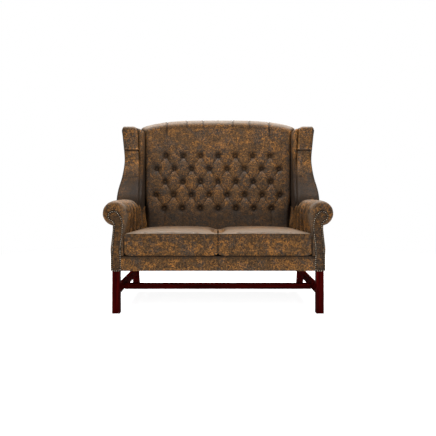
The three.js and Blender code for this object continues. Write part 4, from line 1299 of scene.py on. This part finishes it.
        # Painted sheen: a pale grey over the top of the roll and along the inner front edge, where the lamps catch
        # them.
        edge = bell(y - lines.front - 0.018, 0.020) * step(0.580 - x, 0.0, 0.040)
        Meshwork.paint(cover, "rub", np.maximum(0.6 * step(z - lines.arm_top, -0.020, 0.016), 0.8 * edge))
        return cover

    def _front_panel(self) -> bpy.types.Object:
        """Builds the keyhole panel, crowned a little inside its nails."""
        edge = self.grown(self.nail_outline(0.004), self.nail_edge)
        rings = [stacked(edge[:, 0], self.lines.front + self.panel_thickness, edge[:, 1])]
        # Painted shade: full at the panel's edge and under the nails, and lighter over the rest of the panel.
        painted_shades_and_patina = [np.ones(len(edge))]
        for inset, sink in self.panel_profile:
            line = self.grown(edge, -inset)
            rings.append(stacked(line[:, 0], self.lines.front + sink, line[:, 1]))
            painted_shades_and_patina.append(np.full(len(edge), 0.95 if inset < 0.0090 else 0.40))
        number = np.arange(len(rings) * len(edge)).reshape(len(rings), -1)
        faces = Meshwork.quads(number[:-1], number[1:]) + [number[0].tolist(), number[-1][::-1].tolist()]
        panel = Meshwork.piece("arm_front_cover_right", np.vstack(rings), faces, np.concatenate(painted_shades_and_patina))
        Meshwork.modified(panel, "TRIANGULATE", min_vertices=5)
        return panel

    def _buttons(self) -> bpy.types.Object:
        """Builds the arm's buttons on the twine that holds them to the frame."""
        lines = self.lines
        button = CoveredButton(radius=0.0115, dome=0.0055)
        setbacks = [self.first_button + index * self.flute_pitch for index in range(self.buttons)]
        parts = []
        for index, setback in enumerate(setbacks):
            inner = float(lines.roll(setback)[0])
            foot = Vector((inner + self.flute_depth + 0.0015, lines.front + setback, self.button_height))
            outward = Vector((-1.0, 0.0, 0.05)).normalized()
            parts.append(button.made(f"arm_button_{index}", foot, outward, self.twine_x - foot.x))
        ends = (Vector((self.twine_x + 0.002, lines.front + setbacks[end], self.button_height)) for end in (0, -1))
        parts.append(twine_line("arm_twine", *ends))
        return Meshwork.joined("arm_button_row_right", parts)

    def build(self) -> None:
        """Builds the right arm, mirrors it for the left, and puts both in place."""
        nails = NailTrim(self.nail_outline(), self.lines.front - CLEARANCE)
        self.settle_pair(self._pad(), "arm_pad", fill=0.85)
        self.settle_pair(self._front_panel(), "arm_front_panel", fill=0.9)
        self.settle_pair(self._buttons(), "arm_buttons")
        self.settle_pair(nails.made("arm_nails_right"), "arm_nail_trim", "nail_bronze")


@dataclass
class Wing(Part):
    """A padded wing that rises from the arm to the crest, with its outside cover."""

    low_inner: float = 0.507
    high_inner: float = 0.547
    nose: float = 0.042
    round: float = 0.020
    board_inner: float = 0.578
    board_outer: float = 0.600
    top_cover: float = 0.014
    strong_pleat: float = 0.970
    weak_pleat: float = 0.792
    pleat_depth: float = 0.006
    lip: float = 0.0036
    seam_depth: float = 0.0022
    crease_depth: float = 0.012
    hump_reach: float = 0.004
    hump_setback: float = 0.022
    hump_foot: float = 0.780
    pleat_width: float = 0.0045
    lip_offset: float = 0.0075
    weak_share: float = 0.7
    nose_power: float = 0.55
    strip_power: float = 0.7
    overall_shade: tuple = (0.91, 0.20, 0.78)
    nose_shade: tuple = (0.90, 0.16, 0.32)
    strip_shade: tuple = (0.98, 0.08, 0.30)
    outer_shade: float = 0.6
    top_drop: float = 0.004
    outer_drop: float = 0.014
    nose_drop: float = 0.009
    dip: float = 0.008
    deep_dip: float = 0.024
    dip_reach: float = 0.38
    side_swell: float = 0.0015
    side_inset: float = 0.001
    roughness: float = 0.0012
    crowned_height: float = 0.075
    level_pitch: float = 0.004

    def _levels(self) -> Array:
        """Returns the heights of the wing's rings."""
        top = self.lines.wing_top
        plain = np.arange(self.lines.roll_middle, top - self.round, self.level_pitch)
        crown = top - self.round * (1.0 - np.sin(np.linspace(0.1, np.pi / 2.0, 12)))
        return np.concatenate([plain, crown])

    def _section(self, z: float) -> tuple[Array, Array]:
        """Works out the padded outline of the wing at a height.

        Args:
            z: The height.

        Returns:
            Points across and back, from the groove round the nose to the rear outside, and how much painted shade each
            gets.
        """
        lines = self.lines
        over = max(z - (lines.wing_top - self.round), 0.0) / self.round
        crown = self.round * (1.0 - math.sqrt(max(1.0 - over * over, 0.0)))
        inner = float(mix(self.low_inner, self.high_inner, lines.wing_share(z))) + crown * 0.55
        outer = float(lines.wing_outside(z)) - crown * 0.55
        start = lines.front + float(lines.wing_front(z)) + crown * 0.7
        groove = float(lines.pad_half(max(z, lines.arm_top + 0.03))) + CLEARANCE + crown * 0.2
        pad_face = lines.front + float(lines.pad_plane(z)) - lines.pad_crown + 0.005
        deep = max(pad_face, start + 2.2 * self.round)
        turn = np.linspace(0.0, np.pi, 40)
        reach = self.round * 1.5
        nose_x = (inner + outer) / 2.0 - (outer - inner) / 2.0 * signed_power(np.cos(turn), self.nose_power)
        nose_y = start + reach * (1.0 - np.abs(np.sin(turn)) ** self.nose_power)
        high = float(step(z, self.hump_foot, 0.20))
        side = groove - self.hump_reach * high - CLEARANCE
        swing = np.linspace(0.04, np.pi, 24)[:-1]
        sine = np.sin(swing)
        front = start + self.hump_setback + 0.03 * (1.0 - high)
        valley = start + reach + self.crease_depth
        is_inner = swing < np.pi / 2.0
        strip_x = (side + inner) / 2.0 - (inner - side) / 2.0 * signed_power(np.cos(swing), self.strip_power)
        outer_y = valley - (valley - front) * sine**self.strip_power
        strip_y = np.where(is_inner, deep - (deep - front) * sine**0.45, outer_y)
        # Painted shade in the crease beside the nose and towards the groove.
        strip_painted_shade = np.where(is_inner, 0.7 * (1.0 - sine) ** 1.1, 0.9 * (1.0 - sine) ** 2 * high)
        x = np.concatenate([[groove, groove], strip_x, nose_x])
        y = np.concatenate([[float(lines.inner_rear(z)), deep + 0.02], strip_y, nose_y])
        painted_shades_and_patina = np.concatenate([[1.0, 1.0], strip_painted_shade, np.zeros(len(turn))])
        is_nose = np.arange(len(x)) >= len(x) - len(turn)
        along = np.clip((x - inner) / (outer - inner), 0.0, 1.0)
        strong, lip = (bell(z - self.strong_pleat - above, self.pleat_width) for above in (0.0, self.lip_offset))
        weak = self.weak_share * bell(z - self.weak_pleat, 0.004) * bell(along - 0.18, 0.14)
        spread = step(1.0 - along, 0.0, 0.12) * 0.9 + 0.1
        sink = ((self.pleat_depth * strong - self.lip * lip) * spread + 0.5 * self.pleat_depth * weak) * is_nose
        seam = bell(along - 0.955, 0.02) * is_nose
        x = x + np.where(along < 0.5, 1.0, -1.0) * sink * 0.7
        y = y + sink + self.seam_depth * seam
        # Painted shade in the pleats and along the outer seam.
        painted_shades_and_patina = np.max([painted_shades_and_patina, is_nose * (strong * spread + weak) * 0.9, 0.8 * seam], axis=0)
        shades = (self.overall_shade, self.nose_shade, self.strip_shade)
        overall, nose, strip = (share * step(top - z, 0.0, fade) for top, fade, share in shades)
        nose = nose * np.clip(1.0 - along / 0.7, 0.0, 1.0) + self.outer_shade * (along > 0.965)
        return stacked(x, y), np.clip(painted_shades_and_patina + overall + np.where(is_nose, nose, strip), 0.0, 1.0)

    def _crowned(self, x: Array, z: float) -> Array:
        """Returns the heights of a ring near the wing's top, round at its outer end and dipped at the crease."""
        along = (x - self.high_inner) / (float(self.lines.wing_outside(z)) - self.high_inner)
        inward = np.clip(-along / self.dip_reach, 0.0, 1.0)
        drop = self.top_drop + self.outer_drop * step(along, 0.80, 0.20) ** 2 + self.nose_drop * bell(along, 0.12)
        drop = drop + (self.dip + self.deep_dip * inward) * inward**0.5
        return z - drop * step(z, self.lines.wing_top - self.crowned_height, self.crowned_height)

    def _resting(self, points: Array) -> Array:
        """Lifts points out of the arm's roll."""
        inner, outer = self.lines.roll(points[:, :, 1] - self.lines.front)
        centre, half = (inner + outer) / 2.0, (outer - inner) / 2.0
        share = np.clip(1.0 - ((points[:, :, 0] - centre) / half) ** 2, 0.0, 1.0)
        roll_top = self.lines.roll_middle + self.lines.roll_radius * np.sqrt(share)
        return stacked(points[:, :, 0], points[:, :, 1], np.maximum(points[:, :, 2], roll_top + CLEARANCE))

    def _pad(self) -> bpy.types.Object:
        """Builds the wing's padded nose and inner side."""
        rings, painted_shades_and_patina = [], []
        for z in map(float, self._levels()):
            skin, fold = self._section(z)
            outer_x, outer_y = skin[-1]
            rear = float(self.lines.inner_rear(z))
            board = max(outer_y, self.lines.front + float(self.lines.wing_front(z)) + self.nose)
            inner_x = self.board_inner - CLEARANCE
            is_capped = z > self.lines.wing_top - self.top_cover
            bend = [outer_x, rear] if is_capped else [inner_x, board]
            ring = np.vstack([skin, [[outer_x, board], bend, [inner_x, rear]]])
            rings.append(stacked(ring[:, 0], ring[:, 1], self._crowned(ring[:, 0], z)))
            painted_shades_and_patina.append(np.concatenate([fold, [0.0, 0.0 if is_capped else 1.0, 1.0]]))
        points = self._resting(np.array(rings))
        points[:, :, 1] += self.roughness * unevenness(points, 0.050, 6.0)
        cover = Meshwork.shell("wing_cover_right", points, np.array(painted_shades_and_patina))
        # Painted sheen: a pale grey along the wing's top.
        Meshwork.paint(cover, "rub", step(Meshwork.points(cover)[:, 2] - self.lines.wing_top, -0.022, 0.014))
        return cover

    def _outside(self) -> bpy.types.Object:
        """Builds the leather outside of the wing, from behind the nose to the rear."""
        back = np.linspace(0.0, 1.0, 20)
        inside = self.board_outer + CLEARANCE
        levels = self._levels()
        rings = []
        for z in levels[levels <= self.lines.wing_top - self.top_cover]:
            outer = float(self.lines.wing_outside(z)) - self.side_inset
            start = self.lines.front + float(self.lines.wing_front(z)) + self.nose + CLEARANCE
            rear = float(self.lines.inner_rear(z))
            swelled = outer + self.side_swell * np.sin(np.pi * back)
            outside = stacked(swelled, start + (rear - start) * back, z)
            rings.append(np.vstack([outside, [[inside, rear, z], [inside, start, z]]]))
        return Meshwork.shell("wing_outside_cover_right", self._resting(np.array(rings)))

    def build(self) -> None:
        """Builds the right wing, mirrors it for the left, and puts both in place."""
        self.settle_pair(self._pad(), "wing_pad", fill=0.8)
        self.settle_pair(self._outside(), "outside_wing_panel", fill=0.9)


@dataclass
class SeatCushion(Part):
    """A loose box cushion, blown up as cloth over its foam."""

    edge_height: float = 0.126
    crown: float = 0.021
    setback: float = 0.003
    gap: float = 0.0016
    rear_gap: float = 0.003
    bulge: float = 0.003
    corner: float = 0.005
    voxel: float = 0.005
    foam_voxel: float = 0.012
    swell: float = 0.010
    shrink: float = 0.004
    lining: float = 0.011
    rounding: float = 0.026
    sharpen: float = 0.85
    crown_power: float = 0.55
    over_share: float = 0.7
    flat_depth: float = 0.030
    middle_drop: float = 0.013
    corner_lift: float = 0.013
    seam_shade: float = 0.7
    seam_width: float = 0.004
    band_shade: float = 0.26
    rear_shade: float = 0.55
    blow_steps: int = 20
    cloth: dict[str, float] = field(default_factory=lambda: {
        "use_pressure": True, "uniform_pressure_force": 3.0, "quality": 4, "mass": 0.4, "tension_stiffness": 25.0,
        "compression_stiffness": 20.0, "shear_stiffness": 10.0, "bending_stiffness": 4.0,
    })

    def _rear(self, z: Array) -> Array:
        """Returns the setback of the cushion's rear at a height."""
        return self.lines.pad_plane(z) - self.lines.pad_crown - self.rear_gap

    def _form(self, inset: float, across_count: int = 64, back_count: int = 56) -> Array:
        """Returns the rings of a crowned box cushion, drawn in all round by an inset."""
        top = self.lines.seat_level + self.edge_height - inset
        foot = self.lines.seat_level + inset
        along = 0.5 - 0.5 * np.cos(np.linspace(0.0, np.pi, back_count))
        levels = np.linspace(0.0, 1.0, 14)[1:-1]
        rings = []
        for share in 0.5 - 0.5 * np.cos(np.linspace(0.02, np.pi - 0.02, across_count)):
            pinch = self.corner * max(1.0 - min(share, 1.0 - share) / 0.02, 0.0) ** 2
            swell = math.sqrt(math.sin(math.pi * share))
            start = self.setback + inset + pinch
            end_top, end_foot = (float(self._rear(z)) - inset - pinch for z in (top, foot))
            y = np.concatenate([
                start - self.bulge * np.sin(np.pi * levels), start + (end_top - start) * along,
                end_top + (end_foot - end_top) * levels, end_foot + (start - end_foot) * along,
            ])
            z = np.concatenate([
                foot + (top - foot) * levels + pinch / 2.0 * (1.0 - levels),
                top - pinch / 3.0 + self.crown * swell * np.sin(np.pi * along) ** self.crown_power,
                top + (foot - top) * levels, foot + pinch / 2.0 * (along > 0.98),
            ])
            x = mix(self.gap / 2.0 + inset, self.lines.arm_face(y) - CLEARANCE - inset, share)
            rings.append(stacked(x, self.lines.front + y, z))
        return np.array(rings)

    def _blow(self, cover: bpy.types.Object) -> None:
        """Fills the cover with air as cloth, and keeps each point near where it was."""
        Meshwork.modified(cover, "REMESH", mode="VOXEL", voxel_size=self.voxel, use_smooth_shade=True)
        before = Meshwork.points(cover)
        cloth = cover.modifiers.new("Cloth", "CLOTH")
        for setting, value in self.cloth.items():
            setattr(cloth.settings, setting, value)
        cloth.settings.effector_weights.gravity = 0.0
        cloth.point_cache.frame_start = 1
        cloth.point_cache.frame_end = self.blow_steps
        for frame_number in range(1, self.blow_steps + 1):
            bpy.context.scene.frame_set(frame_number)
        Meshwork.select(cover)
        bpy.ops.object.modifier_apply(modifier=cloth.name)
        bpy.context.scene.frame_set(1)
        moved = Meshwork.points(cover) - before
        length = np.linalg.norm(moved, axis=1)
        held = np.minimum(length, self.swell) / np.maximum(length, 1e-9)
        Meshwork.place(cover, before + moved * held[:, None])

    def _squared(self, first: Array, second: Array) -> Array:
        """Returns how far a place moves towards each of two faces, so that the edge between them is crisp."""
        held = np.clip(np.minimum(first, second), 0.0, None)
        return self.sharpen * held * (1.0 - step(np.maximum(first, second) / self.rounding, 0.5, 0.5))

    def _fit(self, points: Array) -> tuple[Array, Array]:
        """Keeps a cushion in its place, with its seams drawn crisp.

        Args:
            points: The cushion's points.

        Returns:
            The points, held clear of the arm, the other cushion and the back, and how much painted shade each gets.
        """
        lines = self.lines
        rear = self._rear(points[:, 2])
        setback = np.minimum(np.clip(points[:, 1] - lines.front, self.setback - 0.004, None), rear)
        inner, outer = self.gap / 2.0, lines.arm_face(setback)
        x = np.clip(points[:, 0], inner, outer - CLEARANCE)
        y = lines.front + setback
        z = np.maximum(points[:, 2], lines.seat_level + CLEARANCE)
        share = np.clip((x - inner) / (outer - inner), 0.0, 1.0)
        along = np.clip((setback - self.setback) / (rear - self.setback), 0.0, 1.0)
        seam_level = lines.seat_level + self.edge_height
        top = seam_level + self.crown * np.sqrt(np.sin(np.pi * share)) * np.sin(np.pi * along) ** self.crown_power
        inward = np.where(x - inner < outer - x, 1.0, -1.0)
        backward = np.where(along < 0.5, 1.0, -1.0)
        to_end = np.minimum(setback - self.setback, rear - setback)
        flat_end = to_end * (0.25 + 0.75 * ease(to_end / self.flat_depth))
        reach = {"side": np.minimum(x - inner, outer - x), "end": flat_end, "foot": z - lines.seat_level}
        z -= self.over_share * np.clip(z - top, 0.0, None)
        y -= (to_end - flat_end) * backward
        reach["top"] = top - z
        for first, second in (("top", "end"), ("top", "side"), ("end", "side"), ("foot", "end")):
            squared = self._squared(reach[first], reach[second])
            for face in (first, second):
                if face == "end":
                    y -= squared * backward
                elif face == "side":
                    x -= squared * inward
                else:
                    z += squared if face == "top" else -squared
                if face != "foot":
                    reach[face] = reach[face] - squared
        x = np.clip(x, inner, outer - CLEARANCE)
        drop = bell(x, 0.040) * step(setback, 0.04, 0.12) * step(z, seam_level - 0.055, 0.065)
        z -= self.middle_drop * drop
        corner = bell(reach["side"], 0.018) * bell(reach["end"], 0.012) * (setback < 0.1)
        z += self.corner_lift * corner * bell(z - lines.seat_level, 0.020)
        # Painted shade along the seams, in a band on the front face under the seam, and over the rear part of the top.
        edge = np.minimum(np.abs(reach["side"]), np.abs(reach["end"]))
        seam = self.seam_shade * bell(edge, self.seam_width) * bell(z - seam_level + 0.001, 0.0022)
        front_face = 1.0 - step(y - lines.front, self.setback, 0.010)
        banded = self.band_shade * step(z, seam_level - 0.045, 0.012) * (z < seam_level)
        rearward = self.rear_shade * step(setback, 0.08, 0.24) * (z > seam_level + 0.001)
        return stacked(x, y, z), np.maximum(seam, front_face * banded) + rearward

    def _cover(self) -> bpy.types.Object:
        """Builds the right cushion's leather cover."""
        cover = Meshwork.shell("cushion_cover_right", self._form(self.shrink))
        self._blow(cover)
        Meshwork.modified(cover, "SUBSURF", levels=1, render_levels=1)
        fitted, fold = self._fit(Meshwork.points(cover))
        Meshwork.place(cover, fitted)
        Meshwork.paint(cover, "fold", fold)
        # Painted sheen: a pale grey over the upward faces of the top, strongest at the front, where the lamps above
        # shine.
        level = step(Meshwork.facing_up(cover), 0.50, 0.30) * (fitted[:, 2] > self.lines.seat_level + 0.06)
        Meshwork.paint(cover, "rub", level * (1.0 - 0.7 * step(fitted[:, 1] - self.lines.front, 0.09, 0.12)))
        cover.data.shade_smooth()
        return cover

    def _filling(self, cover: bpy.types.Object) -> bpy.types.Object:
        """Builds the foam, a coarser copy of the cover drawn in all round."""
        foam = bpy.data.objects.new("cushion_filling_right", cover.data.copy())
        bpy.context.scene.collection.objects.link(foam)
        Meshwork.modified(foam, "DISPLACE", strength=-self.lining, mid_level=0.0)
        Meshwork.modified(foam, "REMESH", mode="VOXEL", voxel_size=self.foam_voxel, use_smooth_shade=True)
        return foam

    def build(self) -> None:
        """Builds both cushions with their foam, and puts them in place."""
        cover = self._cover()
        foam = self._filling(cover)
        self.settle_pair(cover, "seat_cushion", "leather", 0.85, "cushion")
        self.settle_pair(foam, "cushion_foam", "foam", 1.0, "cushion")


@dataclass
class OuterCovers(Part):
    """The leather over the front rail and the outside back."""

    rail_crown: float = 0.003
    rail_round: float = 0.016
    rail_stations: int = 400
    seam: float = 0.0012
    seam_width: float = 0.0022
    skirt_half: float = 0.6160
    neck_half: float = 0.6037
    body_top: float = 0.372
    neck_foot: float = 0.482
    back_edge: float = 0.006
    back_drop: float = 0.003
    rail_unevenness: float = 0.0010
    seam_shade: float = 0.6
    top_shade: float = 0.75
    top_shade_depth: float = 0.030

    def _rail(self) -> bpy.types.Object:
        """Builds the padded cover of the front rail, with a seam in its middle."""
        low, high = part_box("front_rail_cover")
        x = np.linspace(low.x, high.x, self.rail_stations)[:, None]
        turn = np.linspace(-np.pi / 2.0, np.pi / 2.0, 34)
        half, middle = (high.z - low.z) / 2.0, (high.z + low.z) / 2.0
        z = middle + half * signed_power(np.sin(turn), 0.45)
        seam = bell(x, self.seam_width)
        rounding = np.where(turn > 0.0, self.rail_round, self.rail_round * 0.3)
        y = low.y + rounding * (1.0 - np.abs(np.cos(turn)) ** 0.45)
        y = y - self.rail_crown * (1.0 - ((z - middle) / half) ** 2) + self.seam * seam
        front = stacked(x, y, z)
        front[:, :, 1] += self.rail_unevenness * unevenness(front, 0.060, 8.0)
        back = np.concatenate([stacked(x, high.y, level) for level in (high.z, low.z)], axis=1)
        top_shade = self.top_shade * step(z, high.z - self.top_shade_depth, self.top_shade_depth)
        shade = np.maximum(self.seam_shade * seam, top_shade)
        ends = np.broadcast_to([1.0, 0.0], (self.rail_stations, 2))
        return Meshwork.shell("rail_cover", np.concatenate([front, back], axis=1), np.hstack([shade, ends]))

    def _outside_back(self) -> bpy.types.Object:
        """Builds the outside back inside the outline of its node, with a smooth edge."""
        lines = self.lines
        heights = [*np.linspace(lines.skirt, 0.520, 40), *np.arange(0.524, lines.crest_height - 0.0065, 0.004)]
        rings = []
        for z in heights:
            half = self._outside_half(float(z))
            x = np.linspace(-half, half, 90)
            y = lines.front + float(lines.outside(z))
            edge = np.minimum(half - np.abs(x), lines.crest_height - self.back_edge - z)
            drop = self.back_drop * np.clip(1.0 - edge / self.back_edge, 0.0, 1.0) ** 2
            rings.append(np.vstack([stacked(x, y - drop, z), stacked(x[::-1], y - lines.outside_thickness, z)]))
        return Meshwork.shell("outside_back_cover", np.array(rings))

    def _outside_half(self, z: float) -> float:
        """Returns half the width of the outside back at a height."""
        lines = self.lines
        if z < self.neck_foot:
            return float(mix(self.skirt_half, self.neck_half, (z - self.body_top) / (self.neck_foot - self.body_top)))
        wing = float(lines.wing_outside(z))
        if z < lines.arm_top:
            up = (z - lines.roll_middle) / lines.roll_radius
            reach = (lines.roll_outer_rear - lines.arm_face_rear) / 2.0
            roll = lines.roll_outer_rear - reach + reach * math.sqrt(max(1.0 - up * up, 0.0))
            return float(mix(roll, max(roll, wing), up)) if up >= 0.0 else max(self.neck_half, roll)
        top = lines.wing_top - self.back_edge
        if z < top - 0.012:
            return wing
        share = (lines.crest_height - self.back_edge - z) / lines.crest_drop
        crest = lines.crest_half * share ** (1.0 / lines.crest_power)
        return float(mix(wing, min(crest, wing), step(z, top - 0.012, 0.012)))

    def build(self) -> None:
        """Builds the covers and puts them in place."""
        self.settle(self._rail(), "front_rail_cover", fill=0.9)
        self.settle(self._outside_back(), "outside_back_panel", fill=1.0)


@dataclass(frozen=True)
class Lamp:
    """A soft lamp: where it hangs, what it faces, its width and height, and its power in watts."""

    name: str
    place: tuple[float, float, float]
    aim: tuple[float, float, float]
    size: tuple[float, float]
    power: float

    def hang(self) -> None:
        """Hangs the lamp."""
        light = bpy.data.lights.new(self.name, "AREA")
        light.shape = "RECTANGLE"
        light.size, light.size_y = self.size
        light.energy = self.power
        lamp = bpy.data.objects.new(self.name, light)
        lamp.location = self.place
        lamp.rotation_euler = (Vector(self.aim) - Vector(self.place)).to_track_quat("-Z", "Y").to_euler()
        bpy.context.scene.collection.objects.link(lamp)


@dataclass
class Studio:
    """A pale floor, soft lamps and the camera at the photograph's place."""

    eye: tuple[float, float, float] = (0.0, -3.4065, 0.743)
    lens: float = 43.2
    sensor: float = 36.0
    shift: float = -0.0768
    floor_half: float = 12.0
    floor_glow: float = 0.90
    floor_fade: tuple[float, float] = (1.6, 3.2)
    fill: float = 0.06
    lamps: tuple[Lamp, ...] = (
        Lamp("overhead", (0.0, 0.80, 2.9), (0.0, 0.3, 0.5), (3.4, 1.7), 125.0),
        Lamp("high", (0.0, 0.35, 5.0), (0.0, 0.25, 0.5), (7.0, 3.4), 330.0),
        Lamp("front", (0.0, -2.3, 2.2), (0.0, -0.2, 0.6), (2.6, 1.0), 20.0),
        *(Lamp(side.name_of("low"), (1.5 * side.value, -3.6, 1.5), (0.0, 0.0, 0.6), (1.2, 1.2), 14.0) for side in Side),
    )

    @staticmethod
    def _seen(tree: Tree, hidden: Value, shown: Value) -> None:
        """Shows one shader to the rays of the camera, of gloss and of glass, and another to the rest."""
        camera, gloss, glass = (
            tree.node("ShaderNodeLightPath", {}, {}, f"Is {kind} Ray") for kind in ("Camera", "Glossy", "Transmission")
        )
        showing = camera.math("MAXIMUM", camera.math("MAXIMUM", camera, gloss), glass)
        surface = tree.node("ShaderNodeMixShader", {}, {0: showing, 1: hidden, 2: shown})
        tree.feed(tree.output.inputs["Surface"], surface)

    def _floor(self) -> None:
        """Lays the floor, white to the camera and shaded under the settee."""
        bpy.ops.object.select_all(action="DESELECT")
        bpy.ops.mesh.primitive_plane_add(size=2.0 * self.floor_half, location=(0.0, 0.0, 0.0))
        floor = bpy.context.active_object
        floor.name = "floor"
        shader = Shader("floor")
        glow = shader.node("ShaderNodeEmission", {}, {"Color": (1.0, 1.0, 1.0, 1.0), "Strength": self.floor_glow})
        plain = shader.node("ShaderNodeBsdfDiffuse", {}, {"Color": (0.80, 0.80, 0.80, 1.0)})
        both = shader.node("ShaderNodeAddShader", {}, {0: glow, 1: plain})
        white = shader.node("ShaderNodeEmission", {}, {"Color": (1.0, 1.0, 1.0, 1.0)})
        reach = shader.node("ShaderNodeVectorMath", {"operation": "LENGTH"}, {0: shader.place()}, "Value")
        faded = shader.node("ShaderNodeMixShader", {}, {0: reach.between(*self.floor_fade), 1: both, 2: white})
        self._seen(shader, plain, faded)
        shader.nodes.remove(shader.principled)
        floor.data.materials.append(shader.material)

    def _world(self) -> None:
        """Makes the surroundings white to the camera and to reflections, and dim as a light."""
        world = bpy.data.worlds.new("studio")
        world.use_nodes = True
        tree = Tree(world.node_tree, "World Output")
        tree.nodes.remove(tree.nodes["Background"])
        dim, bright = (
            tree.node("ShaderNodeBackground", {}, {"Color": (1.0, 1.0, 1.0, 1.0), "Strength": strength})
            for strength in (self.fill, 1.0)
        )
        self._seen(tree, dim, bright)
        bpy.context.scene.world = world

    def _camera(self) -> None:
        """Sets up the camera."""
        camera = bpy.data.cameras.new("camera")
        camera.lens = self.lens
        camera.sensor_width = self.sensor
        camera.shift_y = self.shift
        holder = bpy.data.objects.new("camera", camera)
        holder.location = self.eye
        holder.rotation_euler = (math.radians(90.0), 0.0, 0.0)
        bpy.context.scene.collection.objects.link(holder)
        bpy.context.scene.camera = holder

    def build(self) -> None:
        """Builds the studio."""
        self._floor()
        self._world()
        self._camera()
        for lamp in self.lamps:
            lamp.hang()
        bpy.context.scene.view_settings.view_transform = "Standard"


def main() -> None:
    """Builds the settee and its studio, and logs each part and how many points each piece has."""
    logging.basicConfig(level=logging.INFO, format="%(name)s: %(message)s")
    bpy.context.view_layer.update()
    Studio().build()
    finishes, lines = made_finishes(), SetteeLines()
    for part in (FirmPieces, SeatCloths, ButtonedBack, RolledArm, Wing, OuterCovers, SeatCushion):
        log.info("building %s", part.__name__)
        part(finishes, lines).build()


if __name__ == "__main__":
    main()
